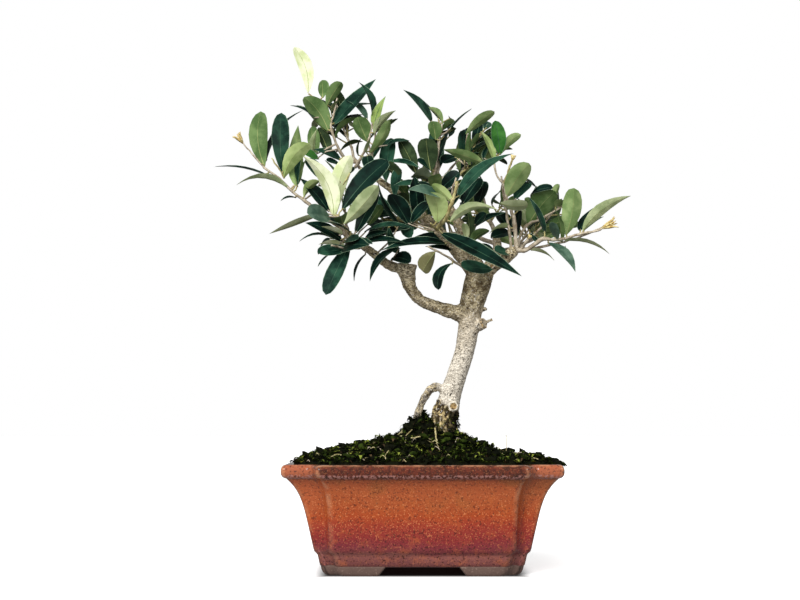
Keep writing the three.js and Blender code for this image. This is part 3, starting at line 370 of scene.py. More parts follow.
# Leaves set one by one on them: x, y, z of the root and of the tip, width as seen from the front, how
# squarely the upper side faces the front (minus for the underside), how far the blade bows to the right, and
# tone.
SET_LEAVES = [
    (-116, -32, 297.4, -118.8, -36, 337.6, 14.2, -0.95, -0.105, 1),
    (-102.5, -33, 292, -104, -30, 337.8, 13.3, 0.95, -0.05, 1),
    (-114.3, -31, 290.9, -154, -26, 298, 1.4, 0.25, 0.02, 0),
    (-97.8, -30, 280.6, -136.3, -38, 282.1, 3.9, -0.5, 0.155, 3),
    (-101.7, -31, 288.8, -82.3, -44, 312.1, 12.5, -0.95, -0.1, 6),
    (-92.9, -29, 283.1, -92.2, -20, 330.6, 11.4, -0.9, 0, 2),
    (-91.8, -29, 282.3, -90.8, -24, 309.4, 8.8, 0.7, -0.05, 1),
    (-115.2, -30, 301.6, -89.1, -8, 344.6, 3.3, 0.4, -0.08, 0),
    (-87, -30, 274.5, -75.1, -40, 285.2, 6.6, -0.8, -0.11, 6),
    (-92.9, -29, 274.5, -103.7, -36, 270.9, 1.5, 0.3, 0.06, 0),
    (-68, -38, 262.4, -90.6, -26, 289.5, 9.5, 0.7, 0, 0),
    (-92.2, -29, 285.3, -86.4, -18, 304.5, 4.4, -0.6, 0, 1),
    (-86.6, 6, 360.9, -97.3, 2, 395.8, 10.8, -0.95, 0.1, 4),
    (-71.1, 11, 332.3, -89.5, 2, 356.8, 14.4, -0.95, 0.075, 1),
    (-75.3, 8, 357.4, -76.2, 10, 371.9, 8.7, -0.8, 0, 1),
    (-72.6, 9, 351, -60.9, 4, 368.9, 9.6, -0.9, -0.03, 1),
    (-67.3, 11, 337.3, -34.7, 18, 374.6, 9.9, 0.7, 0.03, 1),
    (-37.5, 8, 342.6, -47.7, 0, 368, 5.3, 0.5, 0.09, 1),
    (-36, 7, 334.6, -26.8, 2, 357.6, 6.8, 0.8, -0.03, 3),
    (-35.9, 7, 329.2, -19, 0, 346, 6.4, -0.7, -0.05, 3),
    (-40.6, 10, 323.5, -48.5, 2, 341.3, 13.2, -0.95, -0.03, 1),
    (-39.1, 12, 315.3, -24.4, 0, 338.6, 8.3, -0.85, 0.09, 2),
    (-41.3, 9, 340.8, -58.6, 16, 358, 4.6, 0.6, 0.08, 8),
    (-66.1, 12, 327, -45.5, 20, 344.3, 4.6, -0.5, -0.1, 1),
    (-67.6, 13, 332.6, -40.9, 24, 347.1, 1.9, 0.35, -0.12, 0),
    (-80.7, 10, 341.4, -101.1, 14, 352.9, 2.3, 0.4, 0.05, 0),
    (-71.7, 16, 331.6, -93, 20, 354.2, 3.8, 0.5, -0.02, 3),
    (-61.6, 16, 318.7, -44.8, 26, 326.9, 3.5, -0.4, -0.03, 0),
    (-70.1, 16, 314.4, -79.7, 20, 336.8, 9.2, -0.8, 0, 0),
    (-80, 14, 315.7, -84.2, 18, 337.6, 9.9, -0.9, -0.08, 1),
    (-83.4, 8, 310.7, -80, 12, 334, 4.6, -0.6, -0.03, 3),
    (-61.6, 16, 310.5, -82.7, 6, 316.9, 5.7, 0.6, 0.02, 1),
    (-78.1, 8, 309.9, -90.4, -2, 313.5, 6, 0.7, 0, 2),
    (-61.4, 12, 305.2, -72.6, 6, 308.8, 3.8, 0.6, 0, 0),
    (-74.1, -8, 290.2, -87.3, -16, 304.9, 8.9, 0.7, 0.03, 1),
    (-26, 8, 334.8, -17.5, 12, 342.2, 2.3, -0.4, 0, 0),
    (-64.2, -42, 258.8, -86.6, -54, 301.2, 11.5, -0.9, 0.125, 4),
    (-63.1, -42, 258.8, -51.9, -40, 304.2, 13, -0.95, -0.07, 4),
    (-58.4, -40, 263.5, -24.9, -34, 301.2, 15.3, 0.85, -0.02, 0),
    (-56.9, -40, 253.2, -32, -52, 279.7, 12.3, -0.9, 0.047, 3),
    (-48.4, -30, 247.9, -33.1, -28, 280.2, 11, 0.8, 0.03, 0),
    (-16, -16, 255, -32.4, -22, 287.9, 3.3, 0.4, -0.148, 0),
    (-67.1, -42, 258.1, -82.6, -62, 258.2, 12.2, 0.8, 0, 8),
    (-73, -40, 261.3, -112.4, -32, 246.9, 4.4, -0.6, -0.04, 5),
    (-58.7, -32, 241.7, -85.5, -38, 254.3, 8, 0.7, 0.05, 0),
    (-64.6, -30, 243.5, -90.2, -34, 240.9, 2, 0.35, 0.14, 0),
    (-55.8, -28, 238, -76.1, -30, 239.3, 3.7, -0.5, 0.05, 4),
    (-58.5, -36, 246.4, -73.4, -46, 250.6, 3.6, -0.5, 0, 4),
    (-49.2, -28, 248.2, -37.6, -24, 262.8, 7.4, 0.7, 0, 0),
    (-39.8, -22, 254.9, -28.7, -18, 269.7, 8.1, -0.8, 0, 1),
    (-52.8, -30, 239.3, -69.8, -44, 200.8, 12.4, 0.9, 0, 1),
    (-52.8, -30, 236.8, -76.3, -42, 232.1, 8.7, 0.8, -0.03, 1),
    (-41.5, -22, 233.3, -49.8, -28, 212, 2.1, 0.35, 0.07, 0),
    (-68.3, -30, 232.3, -76.2, -36, 222.2, 1.5, 0.3, 0, 0),
    (-16, -18, 238.2, -38, -40, 210.9, 6, 0.6, 0.1, 0),
    (-44.1, -26, 240.9, -11.6, -34, 239.8, 4.4, 0.5, -0.04, 0),
    (-42, -24, 244.5, -24.2, -30, 248.6, 4.4, 0.6, -0.02, 0),
    (-42.4, -26, 249.4, -3.7, -36, 249.3, 3.3, 0.4, -0.08, 1),
    (-23, -14, 230.1, -7.9, -20, 227.3, 8.9, 0.7, -0.09, 0),
    (18.9, -22, 240.7, -30.7, -36, 233.8, 5.9, 0.6, 0.03, 0),
    (22.8, -14, 240.1, -6.9, -10, 246.6, 6.7, 0.6, 0.08, 0),
    (25.8, -14, 236.4, 2.6, -18, 239.3, 3.7, 0.5, 0, 0),
    (11, -40, 254, 6.3, -56, 274.3, 16.6, -0.9, 0.08, 6),
    (14.5, -48, 271.9, -10.2, -64, 274.8, 6.4, 0.6, 0.05, 8),
    (22.4, -50, 267.2, 7.1, -56, 280.1, 6.8, -0.8, 0.02, 6),
    (20.5, -43, 254.3, 55.6, -52, 261.4, 6.8, -0.8, -0.17, 3),
    (14.2, -30, 247.9, 71.1, -62, 212.5, 10.1, 0.75, 0, 0),
    (53.4, -14, 222.8, 28.9, -30, 223.4, 9.6, 0.7, -0.05, 1),
    (9.7, -30, 234, 0.5, -36, 218.8, 12, -0.9, 0, 7),
    (23.2, -22, 226.5, 12.1, -32, 205.5, 7.7, 0.75, 0.16, 0),
    (-9.3, -20, 255.1, -23.5, -14, 279.4, 12.6, 0.7, 0, 0),
    (-8.5, -20, 255.9, 6.2, -28, 270.5, 7.4, 0.6, 0, 0),
    (39.6, -10, 255.7, 48.4, -14, 265.1, 8.9, 0.6, 0, 0),
    (36.2, -16, 242.2, 50, -24, 250.8, 6.7, -0.6, -0.05, 1),
    (33.1, -20, 243.9, 31.4, -24, 256.1, 5.5, -0.8, 0, 3),
    (36.2, -16, 245.9, 34.9, -14, 264.3, 5.9, -0.6, 0, 0),
    (52.5, -6, 247.2, 67.4, 0, 252.5, 9, 0.6, 0, 0),
    (38.9, -10, 254.2, 62.9, -20, 264.2, 4.5, 0.5, -0.03, 0),
    (66.1, -6, 235.8, 54.7, -18, 235.9, 6.7, 0.6, 0, 1),
    (67.1, -4, 253.5, 57.6, 0, 267, 9.8, 0.7, 0, 0),
    (72.1, 2, 246.7, 75.7, 8, 270.4, 8.3, 0.7, 0, 0),
    (67.6, -8, 254.5, 50.4, -16, 249, 3, -0.4, 0.12, 3),
    (54.4, -12, 237.3, 42.2, -18, 241.2, 2.6, 0.4, 0, 0),
    (8.3, -3, 336.1, -13.8, -14, 358.9, 6, 0.5, 0.04, 1),
    (16.7, -3, 334.8, 4, 8, 350.3, 4.9, -0.6, 0.08, 2),
    (11.3, -4, 322.3, 8.9, -10, 335.7, 10.5, -0.9, 0, 1),
    (7.5, 0, 299.2, 3.6, -12, 322.3, 17.6, -0.95, -0.03, 0),
    (22.1, 0, 331.3, 38.7, -6, 346.2, 1.2, 0.2, 0, 0),
    (15.3, 0, 327.8, 26.5, 4, 337.9, 4.5, -0.5, -0.1, 1),
    (34.5, 4, 328.5, 55.9, -4, 344.3, 7.9, -0.8, -0.02, 2),
    (35.2, 6, 302.6, 32.5, 10, 332.5, 10.6, 0.6, -0.05, 1),
    (37.5, 4, 303.7, 38.1, 0, 332.4, 4.5, -0.6, 0, 1),
    (37.6, 6, 318.1, 45.2, 10, 329.7, 4.2, -0.5, 0.05, 1),
    (39.2, 8, 313.8, 46.8, 6, 313.4, 1.4, 0.3, 0, 0),
    (12.2, 0, 306.2, 22.4, 8, 333.3, 6.4, 0.6, 0, 0),
    (45.5, -16, 303.3, 16.1, -24, 311.3, 7.4, -0.8, 0, 2),
    (27, 8, 311.4, 15.9, 0, 305.4, 8.3, 0.7, 0, 0),
    (26.1, -50, 271.6, 67.6, -40, 305.4, 7.9, 0.6, -0.08, 1),
    (29.6, -34, 283.7, 52.1, -30, 303.8, 3.7, -0.45, -0.05, 1),
    (-3, 8, 298.2, -16.8, 14, 326.6, 11.4, -0.8, 0, 0),
    (-26.8, 16, 293.4, -23, 20, 328.6, 11.9, 0.8, 0, 1),
    (-25.2, 14, 308.6, -0.7, 2, 301.9, 3.8, 0.5, -0.02, 1),
    (-26.8, 14, 321.1, -8.3, 8, 323.9, 3, 0.4, -0.05, 1),
    (-29, 12, 305.9, -15.2, 4, 293.7, 9.1, -0.5, 0, 0),
    (-19.8, 10, 280.8, -16, 4, 302.2, 8.3, 0.7, 0, 1),
    (2.4, 6, 289.8, -22.1, -4, 287.1, 4.5, 0.5, 0, 1),
    (7.6, 2, 293.5, -6.2, -8, 294.8, 9.8, -0.7, 0.05, 8),
    (15.3, 4, 285.7, 29.5, -4, 297.1, 10.5, 0.8, 0, 0),
    (31.1, -18, 271.2, 44.3, -10, 292.2, 12.6, 0.8, 0, 0),
    (41.3, -8, 271.2, 46.9, -4, 290.9, 10.5, 0.7, 0.1, 0),
    (8.3, 2, 299.2, -3.2, -6, 306.6, 4.5, 0.5, 0, 0),
    (59.2, -18, 308.3, 54.9, -24, 333.2, 11.1, 0.9, 0, 2),
    (54.4, -18, 304.5, 43.9, -26, 324.8, 5.2, -0.8, 0.05, 6),
    (60.4, -18, 309.8, 75.4, -10, 325.4, 7.1, -0.9, -0.08, 2),
    (63.3, -17, 276.6, 79.6, -28, 300.4, 14.7, -0.95, -0.02, 2),
    (58.2, -30, 270.2, 78.2, -34, 268.5, 8.5, -0.75, 0.12, 5),
    (70.3, -12, 275.2, 81.5, -6, 289.8, 9.7, 0.7, 0, 1),
    (79.1, -8, 291, 88.1, 0, 286.2, 2.3, 0.4, 0, 0),
    (47.2, -12, 305.5, 50.7, -6, 317.3, 3.7, 0.5, 0, 0),
    (81.8, 8, 259.4, 101.8, 0, 283.9, 20.4, -0.9, -0.02, 1),
    (83.9, 4, 282.2, 100.1, -2, 285.9, 5.3, 0.6, -0.05, 0),
    (92.3, -16, 249.7, 79.4, -24, 275.9, 4.6, 0.5, 0, 1),
    (101.4, 12, 279.6, 107, 16, 291.5, 5.3, -0.7, 0, 2),
    (102.2, 12, 273.4, 109.8, 4, 276.8, 6.8, -0.6, 0, 2),
    (107.5, -20, 247.6, 112.9, -28, 281.7, 14.7, -0.95, 0.06, 2),
    (119.7, -21, 250.6, 154.7, -30, 275.5, 8.1, -0.8, -0.07, 3),
    (117.9, -20, 250.7, 129.2, -10, 269.4, 5.9, 0.6, 0, 0),
    (120.2, -20, 250.7, 137.7, -8, 263.2, 3, 0.5, 0, 1),
    (106.8, -20, 243.6, 138.7, -30, 231.9, 2.9, -0.4, -0.09, 5),
    (93.9, -18, 242.3, 112.6, -34, 218.5, 6.6, 0.6, -0.06, 8),
    (99.4, -19, 245.6, 99.1, -36, 253.7, 8.8, 0.7, 0, 8),
    (82, -14, 237.2, 98.2, -26, 227.6, 2.1, -0.35, -0.05, 5),
    (86.1, -17, 242, 81.5, -8, 250.7, 3.3, 0.6, 0, 0),
]
# Dry flower cups: place, direction and size.
FLOWER_CUPS = [
    ((-132.9, -34, 315.5), (-0.55, -0.2, 0.8), 6.5), ((135.6, -22, 253.2), (0.9, -0.2, 0.35), 10),
    ((68, -22, 304.3), (0.3, -0.1, 1), 3.2), ((79.8, -21, 245.3), (0.5, -0.3, 0.8), 2.4),
]
# Where the crown is closed as seen from the front, as x, z, and half sizes.
CLOSED = [
    (6.2, 266.7, 46, 34), (50.5, 262.7, 28, 32), (-58.4, 280, 32, 32), (-56.5, 328, 30, 28),
    (32.6, 315.7, 32, 28), (92.8, 262.7, 20, 18), (6.1, 242.4, 40, 13), (-56.3, 246.4, 28, 12),
    (-20, 295.2, 26, 24),
]
# Where sky shows through it, given in the same way.
OPEN = [
    (-60.5, 325.9, 6, 5.3), (-88.7, 296.3, 3, 3), (-58.4, 282, 2.6, 5.3), (-9.9, 297.3, 4.5, 6),
    (-18, 309.5, 3, 3.8), (-27.1, 283, 2.6, 6), (-5.9, 278.9, 2.6, 3), (-1.9, 253.5, 5.3, 3.8),
    (-20, 260.6, 5.3, 1.9), (7.1, 235.3, 9, 2.6), (53.7, 291.2, 6, 9.8), (78.6, 249.5, 3.8, 6.8),
    (49.4, 249.5, 1.9, 3), (17.3, 301.4, 3.8, 5.3),
]


def metres(points):
    return np.asarray(points, float) * MM + POT_MIDDLE


def mix(first, last, share):
    return first + (last - first) * share


def clamp(value):
    return min(1.0, max(0.0, value))


def unit(vector):
    return vector / np.linalg.norm(vector)


def level(angle):
    """The level direction at an angle from +X."""
    return np.array([math.cos(angle), math.sin(angle), 0.0])


# Materials. The numbers in a paint are screen colours, heights in metres, scales of grain, limits of grain
# from 0 to 1, and shares of a tone.


def colour(red, green, blue):
    """A screen colour from 0 to 255 as the linear colour that a shader takes."""
    shares = [value / 255 for value in (red, green, blue)]
    linear = [s / 12.92 if s <= 0.04045 else ((s + 0.055) / 1.055) ** 2.4 for s in shares]
    return (*linear, 1.0)


class Wire:
    """A socket in a material. Arithmetic on it adds Math nodes, and node() adds any other."""

    def __init__(self, tree, socket=None):
        self.tree = tree
        self.socket = socket

    def node(self, kind, settings=None, sockets=None, out=0):
        made = self.tree.nodes.new(kind)
        for name, value in (settings or {}).items():
            if name == "stops":
                stops = made.color_ramp.elements
                while len(stops) < len(value):
                    stops.new(0.5)
                for stop, (position, tone) in zip(stops, value):
                    stop.position = position
                    stop.color = colour(*tone)
            else:
                setattr(made, name, value)
        for name, value in (sockets or {}).items():
            if isinstance(value, Wire):
                self.tree.links.new(value.socket, made.inputs[name])
            else:
                made.inputs[name].default_value = value
        return Wire(self.tree, made.outputs[out] if len(made.outputs) else None)

    def math(self, operation, first, second):
        return self.node("ShaderNodeMath", {"operation": operation}, {0: first, 1: second})

    def __add__(self, other):
        return self.math("ADD", self, other)

    def __sub__(self, other):
        return self.math("SUBTRACT", self, other)

    def __rsub__(self, other):
        return self.math("SUBTRACT", other, self)

    def __mul__(self, other):
        return self.math("MULTIPLY", self, other)

    __radd__ = __add__
    __rmul__ = __mul__

    def between(self, low, high):
        """0 below low, 1 above high, and a smooth rise between them."""
        settings = {"interpolation_type": "SMOOTHSTEP", "clamp": True}
        return self.node("ShaderNodeMapRange", settings, {"Value": self, "From Min": low, "From Max": high})

    def blend(self, first, second):
        """The first colour where this is 0 and the second where it is 1, each a socket or a screen colour."""
        first, second = (tone if isinstance(tone, Wire) else colour(*tone) for tone in (first, second))
        return self.node("ShaderNodeMix", {"data_type": "RGBA"}, {0: self, 6: first, 7: second}, 2)

    def grain(self, place, scale, detail=3.0, rough=0.55):
        return self.node("ShaderNodeTexNoise", {}, {
            "Vector": place, "Scale": scale, "Detail": detail, "Roughness": rough})

    def bump(self, strength, distance):
        return self.node("ShaderNodeBump", {}, {"Strength": strength, "Distance": distance, "Height": self})


def material(name, paint, **shader):
    """A material whose shader sockets come from paint(), given an empty Wire and the object's coordinates."""
    made = bpy.data.materials.new(name)
    made.use_nodes = True
    made.node_tree.nodes.clear()
    wire = Wire(made.node_tree)
    place = wire.node("ShaderNodeTexCoord", out="Object")
    sockets = paint(wire, place)
    sockets.update(shader)
    surface = wire.node("ShaderNodeBsdfPrincipled", {}, sockets)
    wire.node("ShaderNodeOutputMaterial", {}, {"Surface": surface})
    return made


def attribute(wire, name):
    return wire.node("ShaderNodeAttribute", {"attribute_name": name}, out="Fac")


def along_axis(wire, place, axis):
    return wire.node("ShaderNodeSeparateXYZ", {}, {0: place}, axis)


def height_of(wire, place):
    return along_axis(wire, place, 2)


def from_middle(wire, place, axis):
    """How far a place is from the middle of the pot, along x for 0 and along y for 1."""
    return wire.math("ABSOLUTE", along_axis(wire, place, axis) - float(POT_MIDDLE[axis]), 0.0)


def glaze_paint(wire, place):
    """Bands from plum to orange, lighter just under the lip as painted light, streaks and specks, a dark lip
    with a mauve bead, and pale edges where the glaze runs thin, with a painted highlight along the top of the
    lip.
    """
    cloud = wire.grain(place, 34.0, 3.0)
    above = height_of(wire, place)
    height = above + (cloud - 0.5) * 0.012
    # Bands by height. The band just under the lip is made lighter, as painted light against the lip's shadow.
    body = wire.node("ShaderNodeValToRGB", {"stops": [
        (0.00, (112, 62, 60)), (0.03, (138, 82, 76)), (0.055, (118, 54, 56)),
        (0.10, (118, 44, 50)), (0.18, (132, 44, 42)), (0.34, (148, 54, 38)),
        (0.50, (162, 68, 32)), (0.66, (166, 80, 42)), (0.86, (186, 94, 54)),
        (1.00, (166, 82, 52)),
    ]}, {"Fac": height.between(0.007, 0.079)})
    streak = wire.grain(place, 140.0, 4.0)
    body = (streak.between(0.48, 0.78) * 0.35).blend(body, (196, 106, 52))
    olive = cloud.between(0.48, 0.66) * above.between(0.038, 0.062)
    body = (olive * 0.45).blend(body, (140, 92, 46))
    lip = above.between(0.0675, 0.0700)
    mottle = wire.grain(place, 330.0, 4.0).between(0.36, 0.64).blend((42, 14, 9), (94, 36, 22))
    body = (lip * 0.92).blend(body, mottle)
    wing = from_middle(wire, place, 0).between(0.070, 0.080) * above.between(0.03, 0.07)
    body = (wing * (0.2 + lip * 0.32)).blend(body, (208, 116, 78))
    low = above.between(0.038, 0.016)
    light = wire.grain(place, 950.0, 2.0)
    body = (light.between(0.55, 0.70) * (0.7 - 0.4 * lip - 0.4 * low)).blend(body, (218, 136, 86))
    dark = wire.grain(place, 640.0, 3.0, 0.65)
    specks = dark.between(0.46, 0.36) * (0.6 + low * 0.25 + lip * 0.3)
    body = specks.blend(body, (52, 20, 18))
    bead = above.between(0.0685, 0.0695) * above.between(0.0725, 0.0712)
    mauve = bead * wire.grain(place, 480.0, 3.0).between(0.46, 0.56)
    body = (mauve * 0.7).blend(body, (196, 138, 128))
    # Pale glaze where it has run thin on the edges, and a painted highlight along the top of the lip.
    edge = attribute(wire, "edge") * wire.grain(place, 160.0, 3.0).between(0.36, 0.62)
    body = (edge * 0.62).blend(body, (212, 150, 110))
    pits = wire.grain(place, 1000.0, 2.0)
    relief = (light * 0.5 + pits * 0.3 - dark * 0.4).bump(0.2, 0.0005)
    return {
        "Base Color": body, "Roughness": 0.16 + specks * 0.2 + low * 0.12, "Coat Weight": 0.3 + lip * 0.7,
        "Normal": relief,
    }


def clay_paint(wire, place):
    grit = wire.grain(place, 700.0, 4.0)
    cloud = wire.grain(place, 60.0)
    body = cloud.blend((84, 64, 58), (112, 90, 80))
    body = grit.between(0.55, 0.7).blend(body, (130, 108, 96))
    return {"Base Color": body, "Roughness": 0.8 + grit * 0.15, "Normal": grit.bump(0.4, 0.0006)}


def bark_paint(wire, place):
    """Pale bark that darkens upwards, old bark and moss at the foot, flecks and saw cuts, with painted shade
    in crevices and on the foot's right, and painted light above the fork and on the knob.
    """
    height = height_of(wire, place) + (wire.grain(place, 60.0) - 0.5) * 0.03
    body = wire.node("ShaderNodeValToRGB", {"stops": [
        (0.00, (238, 229, 212)), (0.40, (233, 223, 205)), (0.62, (214, 200, 175)),
        (0.80, (192, 178, 144)), (1.00, (182, 167, 130)),
    ]}, {"Fac": height.between(0.1, 0.24)})
    upper = height.between(0.172, 0.212)
    cloud = wire.grain(place, 170.0, 4.0)
    # Painted light: above the fork the bark is made paler and its dark blotches weaker, against the leaves'
    # shade.
    painted_light_aloft = height.between(0.211, 0.226)
    body = (painted_light_aloft * 0.8).blend(body, (226, 210, 172))
    body = (cloud.between(0.46, 0.60) * (0.22 + upper * 0.62 - painted_light_aloft * 0.42)).blend(body, (94, 78, 50))
    # Painted light on the knob at the end of bough_left_lower, against the leaves' shade.
    body = (attribute(wire, "pale") * 0.75).blend(body, (246, 232, 198))
    warm = attribute(wire, "warmth")
    old_bark = wire.grain(place, 330.0, 4.0).between(0.40, 0.64)
    body = warm.blend(body, old_bark.blend((44, 30, 16), (226, 202, 146)))
    # Painted shade in the crevices, deeper on the foot's old bark.
    painted_crevice_shade = attribute(wire, "relief").between(0.46, 0.2)
    body = (painted_crevice_shade * (0.5 + warm * 0.45)).blend(body, (40, 30, 20))
    lengthwise = wire.node("ShaderNodeMapping", {}, {"Vector": place, "Scale": (1.0, 1.0, 2.4)})
    wrinkle = wire.math("ABSOLUTE", wire.grain(lengthwise, 230.0, 5.0, 0.62) - 0.5, 0.0)
    body = (wrinkle.between(0.045, 0.005) * (0.3 + upper * 0.5)).blend(body, (84, 68, 46))
    flecks = wire.grain(place, 700.0, 2.0, 0.6)
    body = (flecks.between(0.43, 0.35) * 0.6).blend(body, (76, 62, 46))
    spots = wire.grain(place, 360.0, 2.0, 0.5)
    body = (spots.between(0.35, 0.30) * 0.9).blend(body, (44, 34, 26))
    body = (flecks.between(0.58, 0.68) * 0.55).blend(body, (244, 238, 226))
    green = warm * wire.grain(place, 120.0).between(0.5, 0.7) * height_of(wire, place).between(0.125, 0.1)
    body = (green * 0.8).blend(body, (86, 96, 38))
    # Moss on the right of the trunk's foot, near black as painted shade.
    moss_and_shade_film = wire.grain(place, 420.0, 3.0).between(0.4, 0.7).blend((12, 11, 6), (58, 50, 26))
    body = (attribute(wire, "mossy") * 0.9).blend(body, moss_and_shade_film)
    cut = attribute(wire, "cut")
    heart = wire.grain(place, 360.0, 4.0).between(0.38, 0.62).blend((74, 50, 24), (204, 168, 106))
    wound = cut.between(0.6, 0.95).blend(heart, (240, 232, 214))
    body = (cut.between(0.1, 0.4) * 0.9).blend(body, wound)
    relief = wire.grain(place, 900.0, 3.0) + flecks * 0.8 - wrinkle.between(0.05, 0.0) * 0.6
    return {"Base Color": body, "Roughness": 0.86 - cut * 0.1, "Normal": relief.bump(0.7, 0.0009)}


def twig_paint(old, young, scale):
    def paint(wire, place):
        cloud = wire.grain(place, scale, 4.0)
        body = cloud.between(0.3, 0.7).blend(old, young)
        fleck = wire.grain(place, 1100.0, 2.0)
        body = (fleck.between(0.42, 0.34) * 0.6).blend(body, (74, 60, 44))
        return {"Base Color": body, "Roughness": 0.7 + cloud * 0.2, "Normal": fleck.bump(0.4, 0.0004)}
    return paint


def leaf_paint(first, second, gloss, vein):
    def paint(wire, place):
        cloud = wire.grain(place, 90.0, 3.0)
        body = cloud.between(0.38, 0.62).blend(first, second)
        fine = wire.grain(place, 1400.0, 2.0)
        body = (fine.between(0.5, 0.75) * 0.2).blend(body, vein)
        relief = (fine + cloud * 2.0).bump(0.12, 0.0004)
        return {"Base Color": body, "Roughness": gloss + cloud * 0.14, "Normal": relief}
    return paint


def moss_paint(first, second):
    def paint(wire, place):
        cloud = wire.grain(place, 240.0, 4.0)
        body = cloud.between(0.35, 0.65).blend(first, second)
        return {"Base Color": body, "Roughness": 0.8 + cloud * 0.2}
    return paint


def floor_paint(wire, place):
    """A white floor that glows a little, with a painted shadow under the pot: dark there and without glow."""
    across, deep = from_middle(wire, place, 0), from_middle(wire, place, 1)
    # Painted shadow: the floor is dark and does not glow where it is not clear of the pot.
    clear = wire.math("MAXIMUM", across.between(0.066, 0.082), deep.between(0.046, 0.062))
    paper_and_painted_shadow = wire.grain(place, 60.0).blend((246, 245, 244), (252, 252, 251))
    paper_and_painted_shadow = clear.blend((34, 31, 30), paper_and_painted_shadow)
    glow = clear.blend((0, 0, 0), (255, 255, 255))
    return {"Base Color": paper_and_painted_shadow, "Roughness": 0.9, "Emission Color": glow}


GLAZE = material("glaze", glaze_paint, **{"Specular IOR Level": 0.25, "Coat Roughness": 0.04})
CLAY = material("bare_clay", clay_paint)
BARK = material("bark", bark_paint, **{"Specular IOR Level": 0.2})
TWIG_OLD = material("twig_bark", twig_paint((146, 130, 106), (208, 196, 174), 300.0))
TWIG_YOUNG = material("young_twig", twig_paint((150, 134, 84), (196, 188, 132), 300.0))
TWIG_MATERIALS = [TWIG_OLD, TWIG_YOUNG]
OLD_TWIG, YOUNG_TWIG = range(len(TWIG_MATERIALS))
EARTH = material("potting_earth", moss_paint((30, 22, 16), (58, 44, 32)))
STRAW = material("dry_straw", twig_paint((140, 126, 76), (216, 204, 152), 400.0))

# Upper sides of the leaves; the last tone stands for the painted sheen of dark leaves.
LEAF_UPPERS = [
    material(f"leaf_upper_{name}", leaf_paint(first, second, gloss, vein), **{"Specular IOR Level": 0.16})
    for name, first, second, gloss, vein in (
        ("old", (2, 15, 12), (10, 38, 30), 0.36, (30, 60, 50)),
        ("dark", (11, 38, 30), (37, 74, 56), 0.38, (60, 98, 78)),
        ("green", (38, 90, 32), (64, 122, 50), 0.38, (96, 144, 78)),
        ("fresh", (102, 128, 60), (146, 168, 92), 0.44, (166, 184, 116)),
        ("young", (150, 168, 92), (192, 204, 130), 0.45, (214, 220, 160)),
        ("dull", (90, 102, 72), (126, 134, 100), 0.5, (144, 150, 116)),
        ("lime", (112, 142, 64), (156, 180, 98), 0.45, (174, 192, 120)),
        ("olive", (66, 70, 42), (92, 94, 60), 0.5, (118, 118, 82)),
        ("grey_and_painted_sheen", (54, 82, 68), (88, 114, 96), 0.42, (116, 138, 120)),
    )
]
# Undersides: the leaves' own silvery pale, made paler still as painted light from below in place of the
# floor's bounce.
LEAF_UNDERS = [
    material(f"leaf_under_{name}", leaf_paint(first, second, 0.62, vein), **{"Specular IOR Level": 0.15})
    for name, first, second, vein in (
        ("old", (42, 58, 36), (66, 84, 53), (98, 114, 80)),
        ("dark", (78, 106, 58), (112, 138, 84), (138, 160, 110)),
        ("green", (112, 138, 82), (150, 171, 112), (172, 188, 134)),
        ("fresh", (156, 172, 122), (194, 205, 156), (208, 216, 174)),
        ("young", (206, 217, 160), (238, 242, 205), (248, 249, 222)),
        ("dull", (136, 146, 106), (170, 178, 138), (186, 192, 152)),
        ("lime", (154, 178, 106), (194, 212, 142), (210, 222, 160)),
        ("olive", (104, 102, 68), (126, 124, 86), (148, 146, 106)),
        ("grey_and_painted_sheen", (98, 112, 88), (130, 142, 114), (152, 162, 134)),
    )
]
# Ribs, and a band along the margin of each leaf's upper side that is pale as a painted rim highlight.
LEAF_RIBS_AND_MARGIN = [
    material(f"leaf_{name}", leaf_paint(first, second, gloss, vein))
    for name, first, second, gloss, vein in (
        ("rib_upper", (26, 62, 46), (60, 94, 68), 0.45, (84, 116, 86)),
        ("rib_under", (130, 140, 84), (168, 174, 112), 0.6, (190, 194, 140)),
        ("margin", (88, 118, 94), (140, 162, 132), 0.5, (160, 178, 148)),
    )
]
# A grown leaf has one of the first tones, and a leaf set one by one has any.
LEAF_TONES = len(LEAF_UPPERS)
GROWN_TONES = 5
LEAF_MATERIALS = LEAF_UPPERS + LEAF_UNDERS + LEAF_RIBS_AND_MARGIN
FLOWER_CUP = material("dry_flower_cup", twig_paint((196, 160, 84), (238, 224, 164), 500.0))
DULL = {"Specular IOR Level": 0.08}
MOSS_TONES = [
    material(f"moss_{name}", moss_paint(first, second), **DULL)
    for name, first, second in (
        ("shade", (7, 9, 5), (22, 24, 12)),
        ("green", (26, 36, 10), (54, 68, 20)),
        ("light", (86, 100, 34), (140, 148, 64)),
        ("brown", (34, 27, 19), (84, 68, 46)),
    )
]
SHADE, GREEN, LIGHT, BROWN = range(len(MOSS_TONES))


# Pieces


def stand(name, mesh, materials, nodes=()):
    """An object of a finished mesh that rides with the plant and stands for the nodes it is named for."""
    for entry in materials:
        mesh.materials.append(entry)
    made = bpy.data.objects.new(name, mesh)
    bpy.context.scene.collection.objects.link(made)
    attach(made, "root")
    if nodes:
        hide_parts(*nodes)


